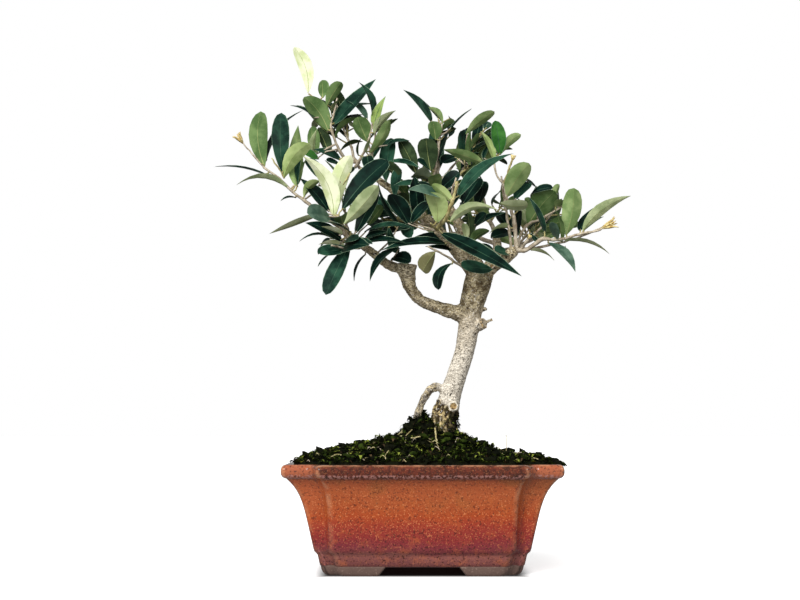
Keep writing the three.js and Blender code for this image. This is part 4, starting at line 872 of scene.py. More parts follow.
class Heap:
    """Many small closed shapes of one kind, gathered into one mesh."""

    def __init__(self):
        self.points = []
        self.faces = []
        self.tones = []
        self.count = 0

    def add(self, points, faces, tones):
        self.points.append(np.asarray(points, float))
        self.faces.extend([tuple(index + self.count for index in face) for face in faces])
        self.tones.extend([tones] * len(faces) if isinstance(tones, int) else tones)
        self.count += len(points)

    def make(self, name, materials, slot, nodes=(), smooth=True, crease=0.0):
        mesh = bpy.data.meshes.new(name)
        mesh.from_pydata(metres(np.concatenate(self.points)).tolist(), [], self.faces)
        mesh.polygons.foreach_set("material_index", np.array(self.tones, np.int32))
        mesh.polygons.foreach_set("use_smooth", np.full(len(self.faces), smooth))
        mesh.update()
        if crease:
            mesh.set_sharp_from_angle(angle=crease)
        stand(name, mesh, materials, nodes)


def ring(bm, points):
    """A closed loop of edges through points in millimetres."""
    verts = [bm.verts.new(place) for place in metres(points).tolist()]
    return verts, [bm.edges.new((verts[i], verts[(i + 1) % len(verts)])) for i in range(len(verts))]


def skin(bm, rings):
    """A skin bridged over rings of points, with its ends closed."""
    loops = [ring(bm, points) for points in rings]
    for (_, lower), (_, upper) in zip(loops, loops[1:]):
        bmesh.ops.bridge_loops(bm, edges=lower + upper)
    bm.faces.new(loops[0][0])
    bm.faces.new(loops[-1][0])
    return [verts for verts, _ in loops]


def at_height(outline, z):
    return np.column_stack([outline, np.full(len(outline), z)])


def mesh_of(bm, name, smooth=True):
    bmesh.ops.recalc_face_normals(bm, faces=bm.faces)
    for face in bm.faces:
        face.smooth = smooth
    mesh = bpy.data.meshes.new(name)
    bm.to_mesh(mesh)
    bm.free()
    return mesh


# Pot


def rounded(corners, segments):
    """A closed outline through corners given as x, y and radius, and how much each point is an outer edge."""
    points, edges = [], []
    count = len(corners)
    for i, (x, y, radius) in enumerate(corners):
        here = np.array([x, y])
        before = unit(np.array(corners[i - 1][:2]) - here)
        after = unit(np.array(corners[(i + 1) % count][:2]) - here)
        turn = before[1] * after[0] - before[0] * after[1]
        for k in range(segments + 1):
            t = k / segments
            points.append(here + before * radius * (1 - t) ** 2 + after * radius * t ** 2)
            edges.append(math.sin(math.pi * t) if turn > 0 else 0.0)
    return np.array(points), np.array(edges)


def wall_sizes(rise):
    """Half sizes at a rise of the wall from 0 to 1: length, depth, long panel, and depth of the corners."""
    curl = rise ** WALL["curl_power"]
    length = WALL["half_length"] + WALL["lean"] * rise + WALL["curl"] * curl
    depth = length - WALL["depth_less"] - WALL["depth_lean"] * rise
    panel = WALL["panel"] + WALL["panel_lean"] * rise + WALL["panel_curl"] * curl
    return length, depth, panel, depth - WALL["corner_step"] - WALL["corner_lean"] * rise


def in_quarter(corners, sx, sy):
    """Corners moved to another quarter of the pot, and still in order round it."""
    moved = [(sx * x, sy * y, radius) for x, y, radius in corners]
    return moved if sx * sy > 0 else moved[::-1]


def pot_outline(rise, inset):
    length, depth, panel, corner = (size - inset for size in wall_sizes(rise))
    quarter = [
        (length, corner, WALL["round_out"]), (panel + WALL["corner_slant"], corner, WALL["round_in"]),
        (panel, depth, WALL["round_out"]),
    ]
    corners = [corner for sx, sy in QUARTERS for corner in in_quarter(quarter, sx, sy)]
    return rounded(corners, WALL["segments"])


def make_pot():
    """The glazed body: plinth, leaning wall, rolled lip and inside, drawn as one skin of rings."""
    wall_rings = [(mix(WALL["foot"], WALL["top"], rise), rise, 0.0) for rise in WALL_RISES]
    bm = bmesh.new()
    edge_and_highlight_layer = bm.verts.layers.float.new("edge")
    rings, edges = [], []
    for z, rise, inset in PLINTH_RINGS + wall_rings + LIP_RINGS:
        points, edge = pot_outline(rise, inset)
        rings.append(at_height(points, z))
        # A painted highlight along the top of the lip, in the same layer as the thin glaze on the edges.
        crest_highlight = math.exp(-((z - CREST_HIGHLIGHT["height"]) / CREST_HIGHLIGHT["spread"]) ** 2)
        crest_highlight *= 1.0 if inset > CREST_HIGHLIGHT["outside"] else CREST_HIGHLIGHT["outside_share"]
        edges.append(np.maximum(edge * mix(EDGE_AT_FOOT, 1, rise ** 2), crest_highlight))
    for verts, edge in zip(skin(bm, rings), edges):
        for vert, value in zip(verts, edge):
            vert[edge_and_highlight_layer] = value
    stand("pot_body", mesh_of(bm, "pot_body"), [GLAZE], ["pot"])


def make_feet():
    """Four angled feet of bare clay, rounded towards the ground, with sides that slant to the arches."""
    bm = bmesh.new()
    sizes = wall_sizes(0)
    inner_x, inner_y = sizes[0] - FEET["skirt"], sizes[1] - FEET["skirt"]
    for sx, sy in QUARTERS:
        rings = []
        for z, inset in FOOT_RINGS:
            length, depth, panel, corner = (size - inset for size in sizes)
            steeper = FEET["steeper_front"] * (inset - FOOT_RINGS[0][1])
            depth, corner = depth + steeper, corner + steeper
            arch = FEET["long_arch"] / 2 + FEET["long_slant"] * (FEET["arch_top"] - z)
            side_arch = FEET["short_arch"] / 2 + FEET["short_slant"] * (FEET["arch_top"] - z)
            corners = [
                (length, side_arch, 2), (length, corner, 6), (panel + FEET["corner_slant"], corner, 5),
                (panel, depth, 4), (arch, depth, 2), (arch, inner_y, 2), (inner_x, inner_y, 3),
                (inner_x, side_arch, 2),
            ]
            outline, _ = rounded(in_quarter(corners, sx, sy), FEET["segments"])
            rings.append(at_height(outline, z))
        skin(bm, rings)
    stand("pot_feet", mesh_of(bm, "pot_feet"), [CLAY], ["pot"])


# Moss


def dense(outline, step=1.5):
    """A closed outline with points no further apart than a step."""
    points = []
    for here, after in zip(outline, np.roll(outline, -1, axis=0)):
        count = max(1, math.ceil(np.linalg.norm(after - here) / step))
        points += [mix(here, after, k / count) for k in range(count)]
    return np.array(points)


BRIM_OUTLINE = dense(pot_outline(1, BRIM_INSET)[0])
BRIM_LOW, BRIM_HIGH = BRIM_OUTLINE.min(axis=0), BRIM_OUTLINE.max(axis=0)
BRIM_ANGLES = np.arctan2(BRIM_OUTLINE[:, 1] - SEAT["y"], BRIM_OUTLINE[:, 0] - SEAT["x"])
BRIM_REACH = np.hypot(BRIM_OUTLINE[:, 1] - SEAT["y"], BRIM_OUTLINE[:, 0] - SEAT["x"])
BRIM_ORDER = np.argsort(BRIM_ANGLES)


def brim_reach(angle):
    """How far the brim is from the seat at an angle."""
    return np.interp(angle, BRIM_ANGLES[BRIM_ORDER], BRIM_REACH[BRIM_ORDER], period=FULL_TURN)


def from_seat(x, y):
    """How far a place is from the seat, and at what angle."""
    return math.hypot(x - SEAT["x"], y - SEAT["y"]), math.atan2(y - SEAT["y"], x - SEAT["x"])


def moss_place(draw, margin, past, clear):
    """A random place on the moss, no further past the brim than given and clear of the trunk."""
    while True:
        x = draw.uniform(BRIM_LOW[0] + margin, BRIM_HIGH[0] - margin)
        y = draw.uniform(BRIM_LOW[1] + margin, BRIM_HIGH[1] - margin)
        away, angle = from_seat(x, y)
        if clear <= away <= brim_reach(angle) + past:
            return x, y


def swell(x, y, width, layer):
    return noise.noise((x / width, y / width, layer))


def moss_height(x, y):
    """How high the moss stands at a place, with its cushions."""
    away, angle = from_seat(x, y)
    reach = float(brim_reach(angle))
    share = clamp((reach - away) / (reach - SEAT["radius"]))
    slope = mix(*SLOPE, 0.5 + 0.5 * math.cos(angle))
    thick = MOSS["thick"] * min(1.0, MOSS["thick_at_brim"] + share * MOSS["gain"])
    knolls = sum(
        rise * math.exp(-((x - kx) ** 2 + (y - ky) ** 2) / spread ** 2) for kx, ky, rise, spread in KNOLLS)
    cushions = MOSS["broad"] * swell(x, y, *BROAD) + MOSS["small"] * swell(x, y, *SMALL)
    cushions *= min(1.0, MOSS["cushions_at_brim"] + share * MOSS["gain"])
    return mix(BRIM, SEAT["z"], share ** slope) + thick + knolls + cushions


def moss_upright(x, y):
    """The direction that stands square on the moss at a place."""
    slope_x = moss_height(x - 1, y) - moss_height(x + 1, y)
    slope_y = moss_height(x, y - 1) - moss_height(x, y + 1)
    return unit(np.array([slope_x, slope_y, 2.0]))


def make_moss_bed():
    """The lumpy blanket under the sprigs, from its edge inside the lip up to the trunk."""
    angles = np.arange(MOSS["around"]) * FULL_TURN / MOSS["around"]
    reaches = brim_reach(angles)
    rings = []
    for share in np.linspace(0, 1, MOSS["rings"]):
        away = mix(reaches, SEAT["radius"] * MOSS["hole"], share)
        xs, ys = SEAT["x"] + np.cos(angles) * away, SEAT["y"] + np.sin(angles) * away
        rings.append(np.column_stack([xs, ys, [moss_height(x, y) for x, y in zip(xs, ys)]]))
    edge = at_height(rings[0][:, :2], BRIM - MOSS["sunk"])
    bm = bmesh.new()
    skin(bm, [edge, *rings])
    stand("moss_bed", mesh_of(bm, "moss_bed"), [MOSS_TONES[SHADE]], ["moss"])


SPRIG_FACES = [(0, 1, 2, 3), (0, 4, 1), (1, 4, 2), (2, 4, 3), (3, 4, 0)]


def sprig_into(heap, kind, root, towards, draw, tone=None):
    """A narrow blade of moss with a keel, curling over at its tip. Its tone is drawn if none is given."""
    size, half = draw.uniform(*kind["length"]), draw.uniform(*kind["half"])
    if tone is None:
        tone = int(draw.choice(len(kind["tones"]), p=kind["tones"]))
    side = unit(np.cross(towards, UP + 0.01)) * half
    keel = unit(np.cross(side, towards)) * 0.25
    bend = root + towards * size * 0.55
    tip = bend + unit(towards - UP * kind["droop"]) * size * 0.45
    heap.add([root, bend + side, tip, bend - side, bend - keel], SPRIG_FACES, tone)


def make_sprigs():
    """Sprigs of moss on the bed, clods among them, and moss that has crept on to the trunk and the lip."""
    draw = np.random.default_rng(SEEDS["moss"])
    tufts, fronds = Heap(), Heap()
    for kind, heap in ((TUFT, tufts), (FROND, fronds)):
        for _ in range(kind["count"]):
            x, y = moss_place(draw, *SPRIG_GROUND)
            root = np.array([x, y, moss_height(x, y) - kind["sunk"]])
            lit = swell(x, y, *SMALL) * 1.2 + 0.5 * swell(x, y, *BROAD) + draw.normal(0, 0.3)
            upright = unit(moss_upright(x, y) + draw.normal(0, 0.25, 3))
            turn = draw.uniform(0, FULL_TURN)
            tone = SHADE if lit < kind["green"] else GREEN if lit < kind["light"] else LIGHT
            if draw.random() < kind["brown"]:
                tone = BROWN
            if kind is FROND:
                towards = unit(upright * draw.uniform(*kind["upright"]) + level(turn))
                sprig_into(heap, kind, root, towards, draw, tone)
                continue
            blades = draw.integers(*kind["blades"])
            for k in range(blades):
                out = level(turn + k * FULL_TURN / blades + draw.normal(0, 0.3))
                towards = unit(upright * draw.uniform(*kind["upright"]) + out * draw.uniform(*kind["spread"]))
                sprig_into(heap, kind, root, towards, draw, tone)

    # Clods of earth and bark that the moss has grown round.
    clod = bmesh.new()
    bmesh.ops.create_icosphere(clod, subdivisions=1, radius=1.0)
    corners = np.array([vert.co[:] for vert in clod.verts])
    sides = [tuple(vert.index for vert in face.verts) for face in clod.faces]
    clod.free()

    def rough_clod():
        return corners * (1 + draw.normal(0, CLODS["rough"], (len(corners), 1)))

    for _ in range(CLODS["count"]):
        x, y = moss_place(draw, *CLOD_GROUND)
        turn, size = draw.uniform(0, FULL_TURN), draw.uniform(*CLODS["size"])
        along = level(turn) + UP * draw.normal(0, CLODS["tilt"])
        beside = np.cross(UP, level(turn)) + UP * draw.normal(0, CLODS["tilt"])
        lumps = rough_clod() * size * CLODS["shape"]
        middle = np.array([x, y, moss_height(x, y) + CLODS["lift"] * size])
        places = middle + lumps @ np.array([along, beside, UP])
        fronds.add(places, sides, int(draw.choice([SHADE, SHADE, SHADE, GREEN])))

    # Moss that climbs the right side of the trunk's foot.
    for _ in range(CLIMBER["count"]):
        out = level(draw.uniform(*CLIMBER["angles"]))
        root = np.array([*CLIMBER["middle"], SEAT["z"] + CLIMBER["climb"] * draw.random() ** 1.3])
        towards = unit(out * draw.uniform(0.3, 0.9) + UP * draw.uniform(-0.3, 0.6) + draw.normal(0, 0.35, 3))
        sprig_into(fronds, CLIMBER, root + out * CLIMBER["away"], towards, draw)

    # A tuft that has crept over the right end of the lip, with clods in it.
    (middle_x, middle_y), (reach_x, reach_y) = CREEPER["middle"], CREEPER["reach"]
    for k in range(CREEPER["count"]):
        x, y = draw.uniform(*CREEPER["x"]), draw.uniform(*CREEPER["y"])
        dome = (1 - ((x - middle_x) / reach_x) ** 2) * (1 - ((y - middle_y) / reach_y) ** 2)
        rise = max(0.0, CREEPER["height"] * dome)
        turn = draw.uniform(0, FULL_TURN)
        out = level(turn)
        if x > CREEPER["overhang"]:
            out = unit(np.array([1.0, 0.4 * math.sin(turn), -0.25]))
        root = np.array([x, y, LIP_TOP - CREEPER["sunk"] + rise * draw.random()])
        sprig_into(fronds, CREEPER, root, unit(UP * draw.uniform(0.1, 0.5) + out), draw)
        if k % CREEPER["clod_each"] == 0:
            lumps = rough_clod() * draw.uniform(*CREEPER["clod"]) * CREEPER["clod_shape"]
            middle = np.array([min(x, CREEPER["overhang"]), y, LIP_TOP + 0.5 * rise])
            fronds.add(middle + lumps, sides, SHADE)
    tufts.make("moss_sprigs", MOSS_TONES, "moss", smooth=False)
    fronds.make("moss_fronds", MOSS_TONES, "moss", smooth=False)


# Trunk, root and boughs


def limb_point(route, along):
    """A point on the smooth centreline through a limb's route."""
    spans = len(route) - 1
    i = min(int(spans * along), spans - 1)
    w = spans * along - i
    second, third = route[i], route[i + 1]
    first = route[i - 1] if i > 0 else 2 * route[0] - route[1]
    fourth = route[i + 2] if i + 2 <= spans else 2 * route[-1] - route[-2]
    steps = ((first, second), (second, third), (third, fourth))
    d0, d1, d2 = (float(((b - a) ** 2).sum()) ** 0.25 for a, b in steps)
    lead = ((second - first) / d0 - (third - first) / (d0 + d1) + (third - second) / d1) * d1
    tail = ((third - second) / d1 - (fourth - second) / (d1 + d2) + (fourth - third) / d2) * d1
    bend = 3 * (third - second) - 2 * lead - tail
    return second + lead * w + bend * w ** 2 + (2 * (second - third) + lead + tail) * w ** 3


def limb_radius(radii, along):
    return float(np.interp(along * (len(radii) - 1), range(len(radii)), radii))


def sides_of(tangent):
    """Two directions square to a tangent, the second of them upwards."""
    reference = np.array([0.0, 1.0, 0.0]) if abs(tangent[2]) > 0.97 else UP
    side = unit(np.cross(tangent, reference))
    return side, np.cross(side, tangent)


def outwards(tangent, angle):
    side, upper = sides_of(tangent)
    return side * math.cos(angle) + upper * math.sin(angle)


def tube_rings(points, radii, count, shape=None):
    """Rings of points square to a path, turned as little as possible from one to the next."""
    tangents = np.gradient(points, axis=0)
    tangents /= np.linalg.norm(tangents, axis=1, keepdims=True)
    side, _ = sides_of(tangents[0])
    angles = np.arange(count) * FULL_TURN / count
    rings = []
    for i, (middle, tangent, radius) in enumerate(zip(points, tangents, radii)):
        side = unit(side - tangent * side.dot(tangent))
        upper = np.cross(tangent, side)
        reach = radius * (shape(i, angles) if shape else np.ones(count))
        across, above = np.cos(angles) * reach, np.sin(angles) * reach
        rings.append(middle + np.outer(across, side) + np.outer(above, upper))
    return rings


def grain_at(place, width):
    return noise.noise(Vector(place) / width)


def root_flare(points):
    """How far each ring of the trunk swells in lobes round its foot."""
    def shape(i, angles):
        flare = max(0.0, 1 - (points[i][2] - SEAT["z"]) / ROOT_FLARE["height"])
        return 1 + ROOT_FLARE["depth"] * flare * np.cos(ROOT_FLARE["lobes"] * angles)
    return shape


def rough_limbs(stubs):
    """Trunk, root, boughs and pruning stubs fused to one mesh, and each limb's name and centreline."""
    bm = bmesh.new()
    axes = []
    for name, (route, radii, pieces) in LIMBS.items():
        route, radii = SEEN.get(name, (route, radii))
        alongs = np.linspace(0, 1, pieces * SKIN["steps"] + 1)
        points = np.array([limb_point(route, along) for along in alongs])
        thick = np.array([limb_radius(radii, along) for along in alongs])
        shape = None
        if name == "trunk":
            points = np.vstack([points[0] - UP * ROOT_FLARE["sunk"], points])
            thick = np.concatenate([[thick[0] * ROOT_FLARE["spread"]], thick])
            shape = root_flare(points)
        else:
            lumps = [noise.noise((along * len(points) / 3.0, 5.0 * len(axes), 1.0)) for along in alongs]
            thick = thick * (1 + SKIN["lumps"] * np.array(lumps))
        skin(bm, tube_rings(points, thick, SKIN["sides"], shape))
        axes.append((name, points))
    for middle, towards, length, root, cut, _ in stubs:
        shares = np.linspace(-0.5, 0.5, SKIN["stub_rings"])
        radii = np.linspace(root, cut, SKIN["stub_rings"])
        skin(bm, tube_rings(middle + np.outer(shares * length, towards), radii, SKIN["stub_sides"]))
    rough = bpy.data.objects.new("limbs_rough", mesh_of(bm, "limbs_rough"))
    bpy.context.scene.collection.objects.link(rough)
    fuse = rough.modifiers.new("fuse", "REMESH")
    fuse.mode = "VOXEL"
    fuse.voxel_size = SKIN["voxel"]
    graph = bpy.context.evaluated_depsgraph_get()
    fused = bpy.data.meshes.new_from_object(rough.evaluated_get(graph))
    bpy.data.objects.remove(rough)
    return fused, axes


def make_limbs():
    """The limbs as one skin, worked into bark, with layers of values that steer the bark's paint."""
    stubs = [(np.array(place), unit(np.array(towards)), *rest) for place, towards, *rest in STUBS]
    fused, axes = rough_limbs(stubs)
    bm = bmesh.new()
    bm.from_mesh(fused)
    for _ in range(SKIN["smoothings"]):
        bmesh.ops.smooth_vert(
            bm, verts=bm.verts, factor=SKIN["smoothing"], use_axis_x=True, use_axis_y=True, use_axis_z=True)
    bm.normal_update()
    layers = {name: bm.verts.layers.float.new(name) for name in ("relief", "warmth", "cut", "mossy", "pale")}
    spine = np.concatenate([points for _, points in axes])
    owner = np.concatenate([[i] * len(points) for i, (_, points) in enumerate(axes)])
    runs = [np.linalg.norm(np.diff(points, axis=0), axis=1) for _, points in axes]
    course = np.concatenate([np.concatenate([[0], np.cumsum(run)]) for run in runs])
    tangent = np.concatenate([np.gradient(points, axis=0) for _, points in axes])
    tangent /= np.linalg.norm(tangent, axis=1, keepdims=True)
    places = (np.array([vert.co[:] for vert in bm.verts]) - POT_MIDDLE) / MM
    for vert, place in zip(bm.verts, places):
        near = int(((spine - place) ** 2).sum(axis=1).argmin())
        name = axes[owner[near]][0]
        on_bough = name.startswith("bough")

        # How much the place is on the foot's old bark, on the free part of the root and on the knob.
        on_foot = on_root = on_knob = 0.0
        if name == "trunk":
            limit = FOOT_BARK["high"] - FOOT_BARK["fall"] * (place[0] - FOOT_BARK["from"])
            limit = min(FOOT_BARK["high"], max(FOOT_BARK["low"], limit))
            limit += FOOT_BARK["ragged"] * grain_at(place, 4)
            on_foot = clamp((limit - place[2]) / FOOT_BARK["soft"])
        elif name == "surface_root":
            on_root = clamp((ROOT_BARK["to"] - place[0]) / ROOT_BARK["soft"])
        elif name.startswith("bough_left"):
            on_knob = clamp(2 - np.linalg.norm(place - stubs[-1][0]) / KNOB)
        # Moss and painted shade on the right of the foot.
        mossy = place[0] - FOOT_MOSS_AND_SHADE["from"] + FOOT_MOSS_AND_SHADE["ragged"] * grain_at(place, 3)
        vert[layers["mossy"]] = on_foot * clamp(mossy / FOOT_MOSS_AND_SHADE["soft"])
        # The knob gets painted light.
        vert[layers["pale"]] = on_knob
        vert[layers["warmth"]] = max(on_foot, WARMTH["root"] * on_root, WARMTH["bough"] if on_bough else 0.0)

        # Plates that follow the limb, lumps and fine grain.
        offset = place - spine[near]
        along = course[near] + offset.dot(tangent[near])
        side, upper = sides_of(tangent[near])
        u, v = offset.dot(side), offset.dot(upper)
        w = along / mix(*PLATES["length"], on_foot) + PLATES["apart"] * owner[near]
        plates = noise.noise((u / PLATES["width"], v / PLATES["width"], w))
        rugged = max(RUGGED["trunk"], on_foot * RUGGED["foot"], on_root * RUGGED["root"])
        if on_bough:
            rugged = RUGGED["bough"]
        height = rugged * (RELIEF["plates"] * plates + RELIEF["lumps"] * grain_at(place, 5.5))
        height += RELIEF["fine"] * grain_at(place, 1.3)
        vert[layers["relief"]] = 0.5 + 0.5 * height

        # Saw cuts, hollow in the middle and paler towards their edge.
        cut = 0.0
        for middle, towards, length, root, _, fresh in stubs:
            from_face = (place - middle).dot(towards) - length / 2
            beside = np.linalg.norm(place - middle - towards * (from_face + length / 2)) / root
            if abs(from_face) < CUT["skin"] and beside < CUT["within"]:
                cut = max(cut, fresh * (0.5 + 0.5 * clamp((beside - CUT["heart"]) / CUT["soft"])))
                height -= CUT["hollow"] * math.exp(-(beside / CUT["heart"]) ** 4)
        vert[layers["cut"]] = cut
        vert.co += vert.normal * height * RELIEF["depth"] * MM
    stand("trunk_and_boughs", mesh_of(bm, "limbs"), [BARK], list(LIMBS))


# Growth of twigs and leaves


def seeded(seed):
    """Repeatable random numbers from 0 to 1."""
    state = [(seed * 69621 + 12345) % 2147483647]

    def draw():
        state[0] = state[0] * 48271 % 2147483647
        return state[0] / 2147483647

    draw()
    draw()
    return draw


class Stem:
    """The bent main twig of a mass."""

    def __init__(self, start, tip):
        self.start = start
        self.tip = tip
        self.bend = (start + tip) / 2 - UP * TWIG["sag"] * np.linalg.norm(start - tip)

    def point(self, along):
        return (1 - along) ** 2 * self.start + 2 * along * (1 - along) * self.bend + along ** 2 * self.tip

    def tangent(self, along):
        return unit(self.point(min(1, along + 1e-4)) - self.point(max(0, along - 1e-4)))


class Shoot:
    """A straight side twig."""

    def __init__(self, start, tip):
        self.start = start
        self.tip = tip

    def point(self, along):
        return mix(self.start, self.tip, along)

    def tangent(self, along):
        return unit(self.tip - self.start)


def guide(path, radius_at, pieces):
    """Straight pieces along a path: starts, ends and radii."""
    points = np.array([path(i / pieces) for i in range(pieces + 1)])
    radii = np.array([radius_at((i + 0.5) / pieces) for i in range(pieces)])
    return points[:-1], points[1:], radii


def joined(guides):
    return tuple(np.concatenate([one[i] for one in guides]) for i in range(3))


def nearest_points(guides, place):
    """The point of each straight piece that is nearest to a place."""
    starts, ends, _ = guides
    runs = ends - starts
    share = np.clip(((place - starts) * runs).sum(axis=1) / (runs ** 2).sum(axis=1), 0, 1)
    return starts + runs * share[:, None]


def clear_of(guides, place, clearance):
    away = np.linalg.norm(nearest_points(guides, place) - place, axis=1)
    return bool(np.all(away > guides[2] + clearance))


def nearest_on(guides, place):
    """The nearest point of all the pieces to a place."""
    points = nearest_points(guides, place)
    return points[np.linalg.norm(points - place, axis=1).argmin()]


MIDDLES = np.array([mass["middle"] for mass in MASSES])
REACHES = np.array([mass["reach"] for mass in MASSES])


def in_own_space(index, place):
    """Whether a place lies in a mass's own space, and nearer to its middle than to any other's."""
    shares = np.linalg.norm((place - MIDDLES) / REACHES, axis=1)
    rest = np.delete(shares, index)
    return shares[index] < 1 and bool(np.all(rest > shares[index] + SPACE_MARGIN))


def grow_leaf(root, tangent, angle, size, lift, draw):
    spread = mix(*LEAF["spread"], draw())
    along = unit(tangent * math.cos(spread) + outwards(tangent, angle) * math.sin(spread) + UP * lift)
    face = tangent + LEAF["face_up"] * UP
    face = unit(face - along * face.dot(along))
    length = mix(*LEAF["length"], draw()) * size
    width = length * mix(*LEAF["slender"], draw())
    widest = mix(*LEAF["widest"], draw())
    bend = mix(*LEAF["bend"], draw())
    return {
        "root": root, "along": along, "face": face, "across": np.cross(along, face), "length": length,
        "width": width, "widest": widest, "bend": bend,
    }


def half_width(leaf, t):
    """Half the width of a leaf at a share of its length. A higher point makes its tip more slender."""
    widest = leaf["widest"]
    first, last = LEAF["fullness"] * widest, LEAF["fullness"] * (1 - widest) * leaf.get("point", 1.0)
    return leaf["width"] / 2 * (t / widest) ** first * (max(0.0, 1 - t) / (1 - widest)) ** last


def leaf_normal(leaf, t):
    turn = leaf["bend"] * t
    return leaf["face"] * math.cos(turn) + leaf["along"] * math.sin(turn)


def leaf_place(leaf, t, side):
    """A place on a leaf: t runs along its bent rib, and side from -1 to 1 across it."""
    turn = leaf["bend"] * t
    radius = leaf["length"] / leaf["bend"]
    half = half_width(leaf, t)
    return (leaf["root"] + leaf["along"] * math.sin(turn) * radius
            + leaf["face"] * (math.cos(turn) - 1) * radius
            + leaf.get("bow", 0.0) * 4 * t * (1 - t) + leaf["across"] * half * side
            + leaf_normal(leaf, t) * (half * leaf.get("fold", LEAF["fold"]) * abs(side)))


# A leaf's outline as stations and sides, and the triangles and edges that stand for it.
OUTLINE = ((0.12, 0), (0.35, -1), (0.7, -1), (1, 0), (0.7, 1), (0.35, 1))
BLADE = np.array([[0, 1, 5], [1, 2, 4], [1, 4, 5], [2, 3, 4]])
RIM = np.array([[0, 1], [1, 2], [2, 3], [3, 4], [4, 5], [5, 0], [0, 3]])


def leaf_outline(leaf):
    return np.array([leaf_place(leaf, t, side) for t, side in OUTLINE])


def leaf_samples(leaf):
    return np.array([*leaf["outline"][1:], *(leaf_place(leaf, t, 0) for t in (0.35, 0.6, 0.85))])


def rims_cut(rims, blades):
    """Whether the rim of any leaf in the first heap passes through a blade of its partner in the second."""
    start = rims[:, RIM[:, 0], None]
    ray = rims[:, RIM[:, 1], None] - start
    corner = blades[:, None, BLADE[:, 0]]
    edge = blades[:, None, BLADE[:, 1]] - corner
    other = blades[:, None, BLADE[:, 2]] - corner
    cross = np.cross(ray, other)
    det = (edge * cross).sum(axis=-1)
    flat = np.abs(det) < 1e-9
    det = np.where(flat, 1.0, det)
    offset = start - corner
    u = (offset * cross).sum(axis=-1) / det
    turned = np.cross(offset, edge)
    v = (ray * turned).sum(axis=-1) / det
    along = (other * turned).sum(axis=-1) / det
    return bool(np.any(~flat & (u >= 0) & (v >= 0) & (u + v <= 1) & (along >= 0) & (along <= 1)))


def leaf_fits(index, leaf, guides, grown):
    """Whether a leaf stays in its mass's own space, clear of limbs and twigs, and cuts no other leaf."""
    leaf["outline"] = leaf_outline(leaf)
    for place in leaf_samples(leaf):
        if not (in_own_space(index, place) and clear_of(guides, place, LEAF["clear"])):
            return False
    if not grown:
        return True
    others = np.array([other["outline"] for other in grown])
    ours = np.broadcast_to(leaf["outline"], others.shape)
    return not (rims_cut(ours, others) or rims_cut(others, ours))


def limb_guide(route, radii, pieces):
    return guide(lambda along: limb_point(route, along), lambda along: limb_radius(radii, along), pieces)


LIMB_GUIDES = [limb_guide(*limb) for limb in LIMBS.values()]
STEMS = [Stem(limb_point(LIMBS[mass["on"]][0], mass["at"]), mass["tip"]) for mass in MASSES]
STEM_GUIDES = [guide(stem.point, lambda along: TWIG["stem_radius"], 8) for stem in STEMS]


def grow_mass(index):
    """A stem, side shoots set round it by the golden angle, and leaves in crossed pairs on both."""
    mass, stem = MASSES[index], STEMS[index]
    draw = seeded(mass["seed"])
    others = LIMB_GUIDES + [one for i, one in enumerate(STEM_GUIDES) if i != index]
    rest = joined(others)
    shoots = []
    roll = draw() * FULL_TURN
    for i in range(mass["shoots"]):
        at = mix(*TWIG["along"], i / (mass["shoots"] - 1)) + TWIG["sway"] * (draw() - 0.5)
        root, tangent = stem.point(at), stem.tangent(at)
        out = outwards(tangent, roll + i * GOLDEN_ANGLE)
        towards = tangent * math.cos(TWIG["spread"]) + out * math.sin(TWIG["spread"])
        towards = unit(towards + UP * TWIG["rise"] * (TWIG["least_rise"] + draw()))
        reach = mix(*TWIG["reach"], draw()) * mass["reach"].min()
        for size in TWIG["tries"]:
            tip = root + towards * reach * size
            places = (tip, (root + tip) / 2)
            if in_own_space(index, tip) and all(clear_of(rest, place, TWIG["clear"]) for place in places):
                shoots.append(Shoot(root, tip))
                break
    shoot_guides = [guide(shoot.point, lambda along: TWIG["shoot_radius"], 1) for shoot in shoots]
    leaves = []

    def dress(path, first, owner):
        """Pairs of leaves along a twig, from a share of its length on."""
        span = np.linalg.norm(path.start - path.tip)
        pairs = max(2, math.floor(span * (1 - first) / TWIG["internode"] + 0.5) + 1)
        turn = draw() * math.pi
        guides = joined(others + [one for i, one in enumerate(shoot_guides) if i != owner])
        for k in range(pairs):
            at = mix(first, TWIG["end"], k / (pairs - 1))
            tangent = path.tangent(at)
            for opposite in (0, math.pi):
                for scale in LEAF["tries"]:
                    angle = turn + k * math.pi / 2 + opposite + LEAF["sway"] * (draw() - 0.5)
                    size = scale * mix(1, LEAF["youngest"], k / (pairs - 1))
                    leaf = grow_leaf(path.point(at), tangent, angle, size, mass["lift"], draw)
                    if leaf_fits(index, leaf, guides, leaves):
                        leaf["shoot"] = owner
                        leaves.append(leaf)
                        break

    dress(stem, TWIG["bare_stem"], -1)
    for i, shoot in enumerate(shoots):
        dress(shoot, TWIG["bare_shoot"], i)
    return shoots, leaves, joined(others + shoot_guides)


# Stations along a leaf, and corners round each: margin, half, rib, rib, half and margin above, and two of the
# keel below. A strip between corners is upper side (0), underside (1), rib above (2), keel (3) or margin (4).
LEAF_STEPS = (0.0, 0.05, 0.14, 0.28, 0.44, 0.6, 0.75, 0.87, 0.95)
RING = 8
STRIP_PARTS = (4, 0, 2, 0, 4, 1, 3, 1)


